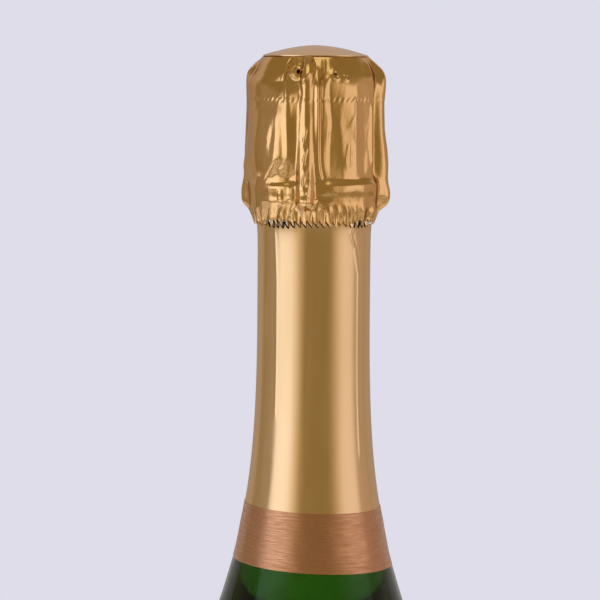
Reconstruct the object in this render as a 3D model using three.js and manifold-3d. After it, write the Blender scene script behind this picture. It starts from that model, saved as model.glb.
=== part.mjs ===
// A sealed 75 cl champagne bottle: glass, wine, cork, wire cage, foil and paper labels.
// Millimetres, +Z up. The origin is the middle of the base, and the front of the bottle faces -Y.

import * as THREE from "three";
import { mergeVertices } from "three/addons/utils/BufferGeometryUtils.js";
import Module from "manifold-3d";

// Glass body
const GLASS_HEIGHT = 300;
const BODY_RADIUS = 44.25;
const BODY_WALL = 4.4;
const SHOULDER_HEIGHT = 135;
const SHOULDER_PULL = 26;
const WAIST_HEIGHT = 178;
const WAIST_RADIUS = 23.6;
const WAIST_SLOPE = 0.31;
const WAIST_PULL = 21;
const HEEL_HEIGHT = 8;
const HEEL_INSET = 6;
const BEARING_WIDTH = 4.5;
const PUNT_DEPTH = 32;
const BASE_WALL = 7;
const INNER_HEEL = 9;

// Glass neck and finish
const NECK_RADIUS = 14.4;
const NECK_BOTTOM = 252;
const NECK_PULL = 40;
const BORE_RADIUS = 9;
const BORE_LENGTH = 46;
const RING_RADIUS = 15.9;
const RING_HEIGHT = 5;
const RING_DROP = 11.6;
const RING_CHAMFER = 0.8;
const GROOVE_RADIUS = 13.3;
const BEAD_RADIUS = 14.3;
const BEAD_HEIGHT = 6.6;
const BEAD_ROUND = 2.2;
const MOUTH_ROUND = 0.8;

// Wine
const FILL_DROP = 79;

// Cork
const SHANK_LENGTH = 24;
const SHANK_CHAMFER = 0.8;
const DISC_THICKNESS = 6;
const HEAD_RADIUS = 15.5;
const HEAD_HEIGHT = 19.8;
const HEAD_FILLET = 4.2;
const HEAD_UNDERCUT = 3.2;
const CROWN_DROP = 2.5;

// Wire cage
const WIRE_DIAMETER = 0.95;
const CAP_RADIUS = 13;
const CAP_THICKNESS = 0.3;
const TOP_RING_RADIUS = 7.4;
const LEG_COUNT = 4;
const LEG_TURN = -7;
const LEG_TWISTS = 4;
const BELT_KINK = 20;
const EYELET_TURN = -38;
const STEM_LENGTH = 8;
const STEM_TWISTS = 1.5;
const LOOP_WIDTH = 9;
const LOOP_HEIGHT = 12;

// Foil
const FOIL_THICKNESS = 0.2;
const SEAM_RADIUS = 14;
const SEAM_FLANGE = 2;
const DISC_SLACK = 0.4;
const HEM_DROP = 7;
const HEM_SLACK = 0.5;
const PLEAT_COUNT = 16;
const PLEAT_DEPTH = 0.35;
const SLEEVE_OVERLAP = 4;

// Paper labels
const PAPER_THICKNESS = 0.15;
const NECK_LABEL_BOTTOM = 187.4;
const NECK_LABEL_HEIGHT = 15.7;
const NECK_LABEL_TILT = 2.6;
const FRONT_LABEL_WIDTH = 96;
const FRONT_LABEL_HEIGHT = 76;
const FRONT_LABEL_BOTTOM = 36;
const BACK_LABEL_WIDTH = 62;
const BACK_LABEL_HEIGHT = 56;
const BACK_LABEL_BOTTOM = 46;

// Clearance between pieces that touch on the real bottle, and between glued faces
const CLEARANCE = 0.2;
const GLUE_LINE = 0.05;

// Facets round the bottle, along a curve, and on small wire
const ROUND_STEPS = 32;
const CURVE_STEPS = 6;
const WIRE_SIDES = 6;

// Places worked out from the sizes above
const RIM_Z = GLASS_HEIGHT;
const RING_TOP = RIM_Z - RING_DROP;
const RING_BOTTOM = RING_TOP - RING_HEIGHT;
const BEARING_RADIUS = BODY_RADIUS - HEEL_INSET;
const WIRE_RADIUS = WIRE_DIAMETER / 2;
const LEG_RADIUS = WIRE_DIAMETER;
const BELT_Z = RING_BOTTOM - CLEARANCE - WIRE_RADIUS;
const EYE_RADIUS = WIRE_DIAMETER + CLEARANCE;
const EYE_REACH = EYE_RADIUS + WIRE_RADIUS;
const FOOT_RADIUS = RING_RADIUS + CLEARANCE + EYE_REACH;
const TIGHT_RADIUS = NECK_RADIUS + CLEARANCE + WIRE_RADIUS;
const EYELET_RADIUS = Math.max(RING_RADIUS, HEAD_RADIUS) + CLEARANCE + LEG_RADIUS;
const SKIN = CLEARANCE + FOIL_THICKNESS;
const HEM_Z = BELT_Z - HEM_DROP;
const NECK_LABEL_TOP = NECK_LABEL_BOTTOM + NECK_LABEL_HEIGHT;
const SLEEVE_BOTTOM = NECK_LABEL_TOP - SLEEVE_OVERLAP;
const SHANK_RADIUS = BORE_RADIUS - CLEARANCE;

const point = (r, z) => new THREE.Vector2(r, z);
const radians = THREE.MathUtils.degToRad;
const blend = THREE.MathUtils.lerp;

// Angle round the bottle, measured from the front (-Y) towards the right (+X), and the point there.
const around = (angle, r, z) => new THREE.Vector3(r * Math.sin(angle), -r * Math.cos(angle), z);

// Height or radius read off an outline that only rises.
function radiusOn(outline, z) {
  const upper = outline.findIndex((p) => p.y >= z);
  if (upper <= 0) return outline.at(upper).x;
  const [a, b] = [outline[upper - 1], outline[upper]];
  return blend(a.x, b.x, (z - a.y) / (b.y - a.y || 1));
}

// Closed meshes

const wasm = await Module();
wasm.setup();

function facingOut(positions, faces) {
  const corner = (i) => new THREE.Vector3().fromArray(positions, 3 * i);
  let volume = 0;
  for (let i = 0; i < faces.length; i += 3) {
    const [a, b, c] = [faces[i], faces[i + 1], faces[i + 2]].map(corner);
    volume += a.dot(b.cross(c));
  }
  if (volume < 0) faces.reverse();
  return new THREE.BufferGeometry()
    .setAttribute("position", new THREE.Float32BufferAttribute(positions, 3))
    .setIndex(faces);
}

// A solid turned about Z from a profile of radius and height that starts and ends on the axis.
function turned(profile) {
  const lathe = new THREE.LatheGeometry(profile, ROUND_STEPS).rotateX(Math.PI / 2);
  lathe.deleteAttribute("normal");
  lathe.deleteAttribute("uv");
  const merged = mergeVertices(lathe, 1e-4);
  return facingOut([...merged.attributes.position.array], [...merged.index.array]);
}

// A thin wall between two grids of points, rows of equal length. A closed wall runs right round.
function shell(outer, inner, closed) {
  const [rows, columns] = [outer.length, outer[0].length];
  const at = (side, row, column) => (side * rows + row) * columns + (column % columns);
  const faces = [];
  const quad = (a, b, c, d) => faces.push(a, b, c, a, c, d);
  const spans = closed ? columns : columns - 1;
  for (let column = 0; column < spans; column++) {
    const next = column + 1;
    for (let row = 0; row + 1 < rows; row++) {
      quad(at(0, row, column), at(0, row, next), at(0, row + 1, next), at(0, row + 1, column));
      quad(at(1, row, column), at(1, row + 1, column), at(1, row + 1, next), at(1, row, next));
    }
    quad(at(0, 0, column), at(1, 0, column), at(1, 0, next), at(0, 0, next));
    const top = rows - 1;
    quad(at(0, top, column), at(0, top, next), at(1, top, next), at(1, top, column));
  }
  for (let row = 0; !closed && row + 1 < rows; row++) {
    const end = columns - 1;
    quad(at(0, row, 0), at(0, row + 1, 0), at(1, row + 1, 0), at(1, row, 0));
    quad(at(0, row, end), at(1, row, end), at(1, row + 1, end), at(0, row + 1, end));
  }
  const positions = [...outer, ...inner].flat().flatMap((p) => p.toArray());
  return facingOut(positions, faces);
}

// A section carried along a flat path whose plane has the given normal. A twist is in whole turns.
function sweep(path, normal, section, { closed = false, twists = 0 } = {}) {
  const count = path.length;
  const before = (i) => path[closed ? (i + count - 1) % count : Math.max(i - 1, 0)];
  const after = (i) => path[closed ? (i + 1) % count : Math.min(i + 1, count - 1)];
  const positions = [];
  const faces = [];
  path.forEach((centre, i) => {
    const side = after(i).clone().sub(before(i)).cross(normal).normalize();
    const turn = (2 * Math.PI * twists * i) / (count - 1);
    section.forEach((p) => {
      const q = p.clone().rotateAround(point(0, 0), turn);
      const corner = centre.clone().addScaledVector(side, q.x).addScaledVector(normal, q.y);
      positions.push(...corner.toArray());
    });
  });
  const sides = section.length;
  const spans = closed ? count : count - 1;
  for (let i = 0; i < spans; i++) {
    for (let j = 0; j < sides; j++) {
      const [a, b] = [i * sides + j, i * sides + ((j + 1) % sides)];
      const [c, d] = [((i + 1) % count) * sides + ((j + 1) % sides), ((i + 1) % count) * sides + j];
      faces.push(a, b, c, a, c, d);
    }
  }
  if (!closed) {
    [0, count - 1].forEach((end) => {
      const middle = positions.length / 3;
      positions.push(...path[end].toArray());
      for (let j = 0; j < sides; j++) {
        const [a, b] = [end * sides + j, end * sides + ((j + 1) % sides)];
        faces.push(...(end ? [a, b, middle] : [b, a, middle]));
      }
    });
  }
  return facingOut(positions, faces);
}

function solidOf(geometry) {
  return new wasm.Manifold(
    new wasm.Mesh({
      numProp: 3,
      vertProperties: new Float32Array(geometry.attributes.position.array),
      triVerts: new Uint32Array(geometry.index.array),
    }),
  );
}

function joined(...geometries) {
  const mesh = geometries.map(solidOf).reduce((a, b) => a.add(b)).getMesh();
  return new THREE.BufferGeometry()
    .setAttribute("position", new THREE.BufferAttribute(mesh.vertProperties, 3))
    .setIndex(new THREE.BufferAttribute(mesh.triVerts, 1));
}

// Glass bottle

const curve = (a, b, c, d, steps) =>
  new THREE.CubicBezierCurve(a, b, c, d).getPoints(steps);

// Outside of the glass from the bearing ring, up the body and neck, to under the wire ring.
function glassFlank() {
  const heel = new THREE.EllipseCurve(
    BEARING_RADIUS, HEEL_HEIGHT, HEEL_INSET, HEEL_HEIGHT, -Math.PI / 2, 0,
  ).getPoints(CURVE_STEPS - 2);
  const waist = point(WAIST_RADIUS, WAIST_HEIGHT);
  const lean = point(-WAIST_SLOPE * WAIST_PULL, WAIST_PULL);
  const shoulder = curve(
    point(BODY_RADIUS, SHOULDER_HEIGHT),
    point(BODY_RADIUS, SHOULDER_HEIGHT + SHOULDER_PULL),
    waist.clone().sub(lean),
    waist,
    CURVE_STEPS,
  );
  const neck = curve(
    waist,
    waist.clone().add(lean),
    point(NECK_RADIUS, NECK_BOTTOM - NECK_PULL),
    point(NECK_RADIUS, NECK_BOTTOM),
    CURVE_STEPS + 2,
  );
  return [...heel, ...shoulder, ...neck.slice(1), point(NECK_RADIUS, RING_BOTTOM)];
}

const FLANK = glassFlank();
const glassRadius = (z) => radiusOn(FLANK, z);

// The finish: the ring that the cage grips, a groove, the rounded bead and the mouth.
function glassFinish() {
  const bead = new THREE.EllipseCurve(
    BEAD_RADIUS - BEAD_ROUND, RIM_Z - BEAD_ROUND, BEAD_ROUND, BEAD_ROUND, 0, Math.PI / 2,
  ).getPoints(4);
  return [
    point(RING_RADIUS - RING_CHAMFER, RING_BOTTOM),
    point(RING_RADIUS, RING_BOTTOM + RING_CHAMFER),
    point(RING_RADIUS, RING_TOP - RING_CHAMFER),
    point(RING_RADIUS - RING_CHAMFER, RING_TOP),
    point(GROOVE_RADIUS, RING_TOP + (RING_RADIUS - GROOVE_RADIUS) / 2),
    point(GROOVE_RADIUS, RIM_Z - BEAD_HEIGHT),
    point(BEAD_RADIUS, RIM_Z - BEAD_HEIGHT + (BEAD_RADIUS - GROOVE_RADIUS)),
    ...bead,
    point(BORE_RADIUS + MOUTH_ROUND, RIM_Z),
    point(BORE_RADIUS, RIM_Z - MOUTH_ROUND),
  ];
}

// Inside of the glass from the bore down to the middle of the punt, drawn in by an inset.
function glassInside(inset) {
  const boreBottom = RIM_Z - BORE_LENGTH;
  const boreWall = glassRadius(boreBottom) - BORE_RADIUS;
  const wall = (z) =>
    blend(BODY_WALL, boreWall, THREE.MathUtils.smoothstep(z, SHOULDER_HEIGHT, boreBottom));
  const puntFoot = BODY_RADIUS - BODY_WALL - INNER_HEEL;
  const heelRadius = INNER_HEEL - inset;
  const levels = FLANK.filter((p) => p.y >= SHOULDER_HEIGHT && p.y < boreBottom).reverse();
  const heel = new THREE.EllipseCurve(
    puntFoot, BASE_WALL + INNER_HEEL, heelRadius, heelRadius, 0, -Math.PI / 2, true,
  ).getPoints(4);
  return [
    point(BORE_RADIUS - inset, boreBottom),
    ...levels.map((p) => point(p.x - wall(p.y) - inset, p.y)),
    ...heel,
    ...punt(puntFoot, BASE_WALL + inset).slice(1),
  ];
}

// The punt's cone with a round tip, from its foot in to the axis.
function punt(foot, floor) {
  const tip = floor + PUNT_DEPTH;
  return curve(
    point(foot, floor),
    point(foot * 0.7, floor + PUNT_DEPTH * 0.45),
    point(foot * 0.45, tip),
    point(0, tip),
    CURVE_STEPS,
  );
}

function glassBottle() {
  const underside = punt(BEARING_RADIUS - BEARING_WIDTH, 0).reverse();
  return turned([...underside, ...FLANK, ...glassFinish(), ...glassInside(0)]);
}

// Wine up to its level in the neck
function wine() {
  const level = RIM_Z - FILL_DROP;
  const inside = glassInside(CLEARANCE).filter((p) => p.y < level);
  const surface = radiusOn([...glassInside(CLEARANCE)].reverse().filter((p) => p.x > 0), level);
  return turned([point(0, level), point(surface, level), ...inside]);
}

// Cork: an agglomerated body with two natural discs glued under it

const SHANK_BOTTOM = RIM_Z - SHANK_LENGTH;
const CROWN_RADIUS = HEAD_RADIUS - HEAD_FILLET;
const CROWN_TOP = RIM_Z + HEAD_HEIGHT;
const FILLET_CENTRE = point(CROWN_RADIUS, CROWN_TOP - CROWN_DROP - HEAD_FILLET);

// Top of the cork: a shallow crown that runs into a round edge.
function corkTop(r) {
  if (r <= CROWN_RADIUS) return CROWN_TOP - CROWN_DROP * (r / CROWN_RADIUS) ** 2;
  const across = r - CROWN_RADIUS;
  return FILLET_CENTRE.y + Math.sqrt(Math.max(HEAD_FILLET ** 2 - across ** 2, 0));
}

function corkDisc(bottom, chamfer) {
  const top = bottom + DISC_THICKNESS - GLUE_LINE;
  return turned([
    point(0, bottom),
    point(SHANK_RADIUS - chamfer, bottom),
    point(SHANK_RADIUS, bottom + chamfer),
    point(SHANK_RADIUS, top),
    point(0, top),
  ]);
}

function corkBody() {
  const bottom = SHANK_BOTTOM + 2 * DISC_THICKNESS;
  const seat = RIM_Z + CLEARANCE;
  const under = new THREE.EllipseCurve(
    HEAD_RADIUS - HEAD_UNDERCUT, seat + HEAD_UNDERCUT, HEAD_UNDERCUT, HEAD_UNDERCUT,
    -Math.PI / 2, 0,
  ).getPoints(4);
  const edge = new THREE.EllipseCurve(
    FILLET_CENTRE.x, FILLET_CENTRE.y, HEAD_FILLET, HEAD_FILLET, 0, Math.PI / 2,
  ).getPoints(5);
  const crown = [0.66, 0.33, 0].map((share) => point(share * CROWN_RADIUS, corkTop(share * CROWN_RADIUS)));
  return turned([
    point(0, bottom),
    point(SHANK_RADIUS, bottom),
    point(SHANK_RADIUS, seat),
    ...under,
    ...edge,
    ...crown,
  ]);
}

// Wire cage

// The pressed cap follows the crown of the cork.
const capBottom = (r) => corkTop(r) + CLEARANCE;
const capTop = (r) => capBottom(r) + CAP_THICKNESS;

function cageCap() {
  const radii = [0, 0.4, 0.75, 1].map((share) => share * CAP_RADIUS);
  const under = radii.map((r) => point(r, capBottom(r)));
  const over = radii.map((r) => point(r, capTop(r))).reverse();
  return turned([...under, ...over]);
}

const roundSection = (radius, sides) =>
  Array.from({ length: sides }, (_, i) =>
    point(radius, 0).rotateAround(point(0, 0), (2 * Math.PI * i) / sides),
  );

// Two strands side by side, which twist together along a leg.
function pairSection() {
  const lobe = [-72, -24, 24, 72].map(radians);
  const right = lobe.map((a) => point(1 + Math.cos(a), Math.sin(a)).multiplyScalar(WIRE_RADIUS));
  const left = right.map((p) => p.clone().negate());
  return [...right, ...left];
}

const circlePath = (radius, z, steps, radiusAt = () => radius) =>
  Array.from({ length: steps }, (_, i) => {
    const angle = (2 * Math.PI * i) / steps;
    return around(angle, radiusAt(angle), z);
  });

const UP = new THREE.Vector3(0, 0, 1);

function cageRing() {
  const z = capTop(TOP_RING_RADIUS) + CLEARANCE + WIRE_RADIUS;
  const path = circlePath(TOP_RING_RADIUS, z, ROUND_STEPS / 2);
  return sweep(path, UP, roundSection(WIRE_RADIUS, WIRE_SIDES), { closed: true });
}

// A point at a distance outside the cork's round edge, at an angle down from straight up.
function offEdge(degrees, distance) {
  const reach = point(Math.sin(radians(degrees)), Math.cos(radians(degrees)));
  return FILLET_CENTRE.clone().addScaledVector(reach, HEAD_FILLET + distance);
}

// How far the middle of a leg lies off the cork where it passes over the cap's edge.
const LEG_LIFT = CAP_THICKNESS + 2 * CLEARANCE + LEG_RADIUS;

// Centre line of a leg: out over the cap, round the edge of the cork, and down to its foot.
function legLine() {
  const inner = TOP_RING_RADIUS + WIRE_RADIUS + 2 * CLEARANCE;
  const edge = [20, 45, 75].map((degrees) => offEdge(degrees, LEG_LIFT));
  const sideRadius = HEAD_RADIUS + CLEARANCE + LEG_RADIUS;
  const footTop = BELT_Z + EYE_RADIUS;
  return [
    point(inner, capTop(inner) + CLEARANCE + LEG_RADIUS),
    ...edge,
    point(Math.max(sideRadius, edge[2].x), RIM_Z + HEAD_HEIGHT / 3),
    point(FOOT_RADIUS, footTop),
  ];
}

const LEG_LINE = legLine();
const LEG_STEPS = 32;

function cageLeg(angle) {
  const path = new THREE.SplineCurve(LEG_LINE)
    .getSpacedPoints(LEG_STEPS)
    .map((p) => around(angle, p.x, p.y));
  const tangential = around(angle + Math.PI / 2, 1, 0);
  const bar = sweep(path, tangential, pairSection(), { twists: LEG_TWISTS });
  const eyeLine = Array.from({ length: 12 }, (_, i) => {
    const turn = (2 * Math.PI * i) / 12;
    return around(angle, FOOT_RADIUS + EYE_RADIUS * Math.cos(turn), BELT_Z + EYE_RADIUS * Math.sin(turn));
  });
  const eye = sweep(eyeLine, tangential, roundSection(WIRE_RADIUS, WIRE_SIDES), { closed: true });
  return joined(bar, eye);
}

const LEG_ANGLES = Array.from({ length: LEG_COUNT }, (_, i) =>
  radians(LEG_TURN + (360 * i) / LEG_COUNT),
);
const EYELET_ANGLE = radians(EYELET_TURN);

// Signed angle from one direction to another, within half a turn.
const angleBetween = (a, b) => Math.atan2(Math.sin(a - b), Math.cos(a - b));

// The belt lies tight under the glass ring and kinks out through each foot and under the eyelet.
function cageBelt() {
  const kinks = [
    ...LEG_ANGLES.map((angle) => ({ angle, reach: FOOT_RADIUS })),
    { angle: EYELET_ANGLE, reach: EYELET_RADIUS },
  ];
  const radiusAt = (angle) =>
    Math.max(
      ...kinks.map(({ angle: kink, reach }) => {
        const share = Math.min(Math.abs(angleBetween(angle, kink)) / radians(BELT_KINK), 1);
        return blend(TIGHT_RADIUS, reach, Math.cos((share * Math.PI) / 2) ** 2);
      }),
    );
  const path = circlePath(0, BELT_Z, 72, radiusAt);
  return sweep(path, UP, roundSection(WIRE_RADIUS, WIRE_SIDES), { closed: true });
}

// The eyelet, folded up against the glass: a twisted stem that ends in a finger loop.
const STEM_BOTTOM = BELT_Z + WIRE_RADIUS + CLEARANCE;
const LOOP_MIDDLE = STEM_BOTTOM + STEM_LENGTH + LOOP_HEIGHT / 2 - WIRE_RADIUS;

function cageEyelet() {
  const outward = around(EYELET_ANGLE, 1, 0);
  const sideways = around(EYELET_ANGLE + Math.PI / 2, 1, 0);
  const foot = around(EYELET_ANGLE, EYELET_RADIUS, STEM_BOTTOM);
  const stemLine = Array.from({ length: 13 }, (_, i) =>
    foot.clone().addScaledVector(UP, (STEM_LENGTH * i) / 12),
  );
  const loopLine = Array.from({ length: 20 }, (_, i) => {
    const turn = (2 * Math.PI * i) / 20;
    return around(EYELET_ANGLE, EYELET_RADIUS, LOOP_MIDDLE)
      .addScaledVector(sideways, (LOOP_WIDTH / 2 - WIRE_RADIUS) * Math.cos(turn))
      .addScaledVector(UP, (LOOP_HEIGHT / 2 - WIRE_RADIUS) * Math.sin(turn));
  });
  const stem = sweep(stemLine, sideways, pairSection(), { twists: STEM_TWISTS });
  const loop = sweep(loopLine, outward, roundSection(WIRE_RADIUS, WIRE_SIDES), { closed: true });
  return joined(stem, loop);
}

// Foil

const SEAM_Z = seamHeight();
const DISC_RISE = discRise();

// The seam lies just clear of the legs where they pass under it.
function seamHeight() {
  const outside = HEAD_FILLET + LEG_LIFT + LEG_RADIUS + SKIN;
  return FILLET_CENTRE.y + Math.sqrt(Math.max(outside ** 2 - (SEAM_RADIUS - FILLET_CENTRE.x) ** 2, 0));
}

// The top disc is domed enough to clear the inner ends of the legs.
function discRise() {
  const [start] = LEG_LINE;
  const needed = start.y + LEG_RADIUS + DISC_SLACK - SEAM_Z;
  return needed / (1 - (start.x / SEAM_RADIUS) ** 2);
}

// Outline of the hood over a leg, and of the hood where it lies on the cork and the glass.
function hoodOverLeg() {
  const drape = LEG_RADIUS + SKIN;
  const [head, foot] = LEG_LINE.slice(-2);
  const edge = [80, 60, 40].map((degrees) => offEdge(degrees, LEG_LIFT + drape));
  const footReach = FOOT_RADIUS + EYE_REACH + SKIN;
  return [
    point(glassRadius(HEM_Z) + SKIN + HEM_SLACK, HEM_Z),
    point(blend(NECK_RADIUS, footReach, 0.65), BELT_Z - EYE_REACH - 2 * SKIN),
    point(footReach, BELT_Z - EYE_RADIUS),
    point(footReach, foot.y),
    point(head.x + drape, head.y),
    ...edge,
    point(SEAM_RADIUS, SEAM_Z),
  ];
}

function hoodOverCore() {
  const beltReach = TIGHT_RADIUS + WIRE_RADIUS + SKIN;
  const edge = [65, 35].map((degrees) => offEdge(degrees, SKIN + CLEARANCE));
  return [
    point(glassRadius(HEM_Z) + SKIN + HEM_SLACK, HEM_Z),
    point(beltReach + HEM_SLACK, BELT_Z - EYE_REACH),
    point(RING_RADIUS + SKIN, RING_BOTTOM),
    point(RING_RADIUS + SKIN, RING_TOP),
    point(BEAD_RADIUS + SKIN + HEM_SLACK, RIM_Z - BEAD_HEIGHT / 2),
    point(HEAD_RADIUS + SKIN, RIM_Z + HEAD_UNDERCUT),
    point(HEAD_RADIUS + SKIN + CLEARANCE, FILLET_CENTRE.y),
    ...edge,
    point(Math.max(SEAM_RADIUS, CAP_RADIUS + SKIN), capTop(CAP_RADIUS) + SKIN),
    point(SEAM_RADIUS, SEAM_Z),
  ];
}

// Foil pulled straight from a ridge down on to a round core touches it at this angle.
function tent(core, ridge, offset) {
  if (ridge <= core) return core;
  const touch = Math.acos(core / ridge);
  return core / Math.cos(Math.max(touch - Math.abs(offset), 0));
}

function hoodRadius(angle, z) {
  const core = radiusOn(CORE_OUTLINE, z);
  const ridge = radiusOn(LEG_OUTLINE, z);
  const overLegs = LEG_ANGLES.map((leg) => tent(core, ridge, angleBetween(angle, leg)));
  const onLoop = z >= BELT_Z - EYE_REACH && z < LOOP_MIDDLE + LOOP_HEIGHT / 2 + WIRE_DIAMETER;
  const flat = EYELET_RADIUS + LEG_RADIUS + SKIN;
  const offset = angleBetween(angle, EYELET_ANGLE);
  const loopEdge = Math.atan(LOOP_WIDTH / 2 / EYELET_RADIUS);
  const overLoop = Math.abs(offset) < loopEdge ? flat : tent(core, flat, Math.abs(offset) - loopEdge);
  const pleat = (PLEAT_DEPTH * (1 + Math.cos(PLEAT_COUNT * angle))) / 2;
  const free = Math.min(1, (SEAM_Z - z) / HEAD_FILLET);
  return Math.max(...overLegs, onLoop ? overLoop : core) + pleat * free;
}

const LEG_OUTLINE = hoodOverLeg();
const CORE_OUTLINE = hoodOverCore();
const HOOD_COLUMNS = 48;

function grid(rows, columns, at) {
  return rows.map((row) => columns.map((column) => at(row, column)));
}

const roundColumns = (count, first = 0) =>
  Array.from({ length: count }, (_, i) => first + (2 * Math.PI * i) / count);

// The hood's skirt, with its top edge folded in under the disc.
function foilHood() {
  const heights = [...LEG_OUTLINE, ...CORE_OUTLINE].map((p) => p.y).sort((a, b) => a - b);
  const levels = heights.filter((z, i) => i === 0 || z - heights[i - 1] > CLEARANCE);
  const columns = roundColumns(HOOD_COLUMNS, LEG_ANGLES[0]);
  const outer = grid(levels, columns, (z, angle) => around(angle, hoodRadius(angle, z), z));
  const inner = grid(levels, columns, (z, angle) =>
    around(angle, hoodRadius(angle, z) - FOIL_THICKNESS, Math.min(z, SEAM_Z - FOIL_THICKNESS)),
  );
  const flange = SEAM_RADIUS - SEAM_FLANGE;
  const rise = discHeight(flange) - discHeight(SEAM_RADIUS);
  outer.push(columns.map((angle) => around(angle, flange, SEAM_Z + rise)));
  inner.push(columns.map((angle) => around(angle, flange, SEAM_Z + rise - FOIL_THICKNESS)));
  return shell(outer, inner, true);
}

// Underside of the top disc, a shallow dome.
const discHeight = (r) => SEAM_Z + CLEARANCE + DISC_RISE * (1 - (r / SEAM_RADIUS) ** 2);

function foilTopDisc() {
  const radii = [0, 0.35, 0.65, 0.85, 1].map((share) => share * (SEAM_RADIUS + FOIL_THICKNESS));
  const under = radii.map((r) => point(r, discHeight(r)));
  const over = radii.map((r) => point(r, discHeight(r) + FOIL_THICKNESS)).reverse();
  return turned([...under, ...over]);
}

// A skin of paper or foil on the glass: its rows as heights by angle, its distance off the glass,
// and the angles that it covers.
function wrap(rows, offset, thickness, columns, closed) {
  const off = (extra) => (height, angle) => {
    const z = height(angle);
    return around(angle, glassRadius(z) + offset(z) + extra, z);
  };
  return shell(grid(rows, columns, off(thickness)), grid(rows, columns, off(0)), closed);
}

const level = (z) => () => z;

const steps = (from, to, count) =>
  Array.from({ length: count + 1 }, (_, i) => blend(from, to, i / count));

function neckFoil() {
  const top = HEM_Z - CLEARANCE;
  const columns = roundColumns(ROUND_STEPS);
  const rows = steps(SLEEVE_BOTTOM, top, 8).map(level);
  return wrap(rows, () => CLEARANCE, FOIL_THICKNESS, columns, true);
}

// Labels

// The neck label lies on the foil above the foil's edge, and on the glass below it. It was stuck on
// slightly askew, with its right side lower.
function neckLabel() {
  const step = SLEEVE_BOTTOM - CLEARANCE;
  const askew = (z) => (angle) =>
    z - Math.tan(radians(NECK_LABEL_TILT)) * glassRadius(z) * Math.sin(angle);
  const rows = [
    askew(NECK_LABEL_BOTTOM),
    ...steps(NECK_LABEL_BOTTOM, step - SKIN, 3).slice(1).map(level),
    level(step),
    askew(NECK_LABEL_TOP),
  ];
  const offset = (z) => (z < step ? CLEARANCE : CLEARANCE + SKIN);
  return wrap(rows, offset, PAPER_THICKNESS, roundColumns(ROUND_STEPS), true);
}

function bodyLabel(middle, width, height, bottom) {
  const half = width / 2 / BODY_RADIUS;
  const columnsAcross = Math.max(8, Math.round((half * ROUND_STEPS) / Math.PI));
  const columns = steps(middle - half, middle + half, 2 * Math.round(columnsAcross / 2));
  const sag = BODY_RADIUS * (1 - Math.cos(Math.PI / ROUND_STEPS));
  const rows = steps(bottom, bottom + height, 4).map(level);
  return wrap(rows, () => CLEARANCE + sag, PAPER_THICKNESS, columns, false);
}

// Materials

const finish = (color, roughness, metalness, more = {}) =>
  new THREE.MeshStandardMaterial({ color, roughness, metalness, ...more });

const GREEN_GLASS = finish("#27450c", 0.05, 0, { transparent: true, opacity: 0.75 });
const PALE_WINE = finish("#d9c36a", 0.05, 0, { transparent: true, opacity: 0.5 });
const AGGLOMERATED_CORK = finish("#c39a68", 0.85, 0);
const NATURAL_CORK = finish("#d2ad7c", 0.85, 0);
const TINPLATE = finish("#b3884c", 0.3, 1);
const STEEL_WIRE = finish("#b8b6b2", 0.35, 1);
const GOLD_FOIL = finish("#b98e55", 0.3, 1);
const COPPER_PAPER = finish("#a8744c", 0.45, 0.6);
const CREAM_PAPER = finish("#efe6d2", 0.7, 0);

// Assembly

function piece(name, geometry, material) {
  const mesh = new THREE.Mesh(geometry, material);
  mesh.name = name;
  return mesh;
}

const LEG_NAMES = ["front", "right", "back", "left"];

const bottle = new THREE.Group();
bottle.add(
  piece("glass_bottle", glassBottle(), GREEN_GLASS),
  piece("wine", wine(), PALE_WINE),
  piece("neck_foil", neckFoil(), GOLD_FOIL),
  piece("neck_label", neckLabel(), COPPER_PAPER),
  piece(
    "front_label",
    bodyLabel(0, FRONT_LABEL_WIDTH, FRONT_LABEL_HEIGHT, FRONT_LABEL_BOTTOM),
    CREAM_PAPER,
  ),
  piece(
    "back_label",
    bodyLabel(Math.PI, BACK_LABEL_WIDTH, BACK_LABEL_HEIGHT, BACK_LABEL_BOTTOM),
    CREAM_PAPER,
  ),
);

const stopper = new THREE.Group();
stopper.add(
  piece("cork_disc_lower", corkDisc(SHANK_BOTTOM, SHANK_CHAMFER), NATURAL_CORK),
  piece("cork_disc_upper", corkDisc(SHANK_BOTTOM + DISC_THICKNESS, 0), NATURAL_CORK),
  piece("cork_body", corkBody(), AGGLOMERATED_CORK),
);

const cage = new THREE.Group();
cage.add(
  piece("cage_cap", cageCap(), TINPLATE),
  piece("cage_ring", cageRing(), STEEL_WIRE),
  piece("cage_belt", cageBelt(), STEEL_WIRE),
  piece("cage_eyelet", cageEyelet(), STEEL_WIRE),
  ...LEG_ANGLES.map((angle, i) =>
    piece("cage_leg_" + (LEG_NAMES[i] ?? i + 1), cageLeg(angle), STEEL_WIRE),
  ),
);

const hood = new THREE.Group();
hood.add(
  piece("foil_hood", foilHood(), GOLD_FOIL),
  piece("foil_top_disc", foilTopDisc(), GOLD_FOIL),
);

const champagneBottle = new THREE.Group();
champagneBottle.add(bottle, stopper, cage, hood);

export default champagneBottle;
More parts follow.
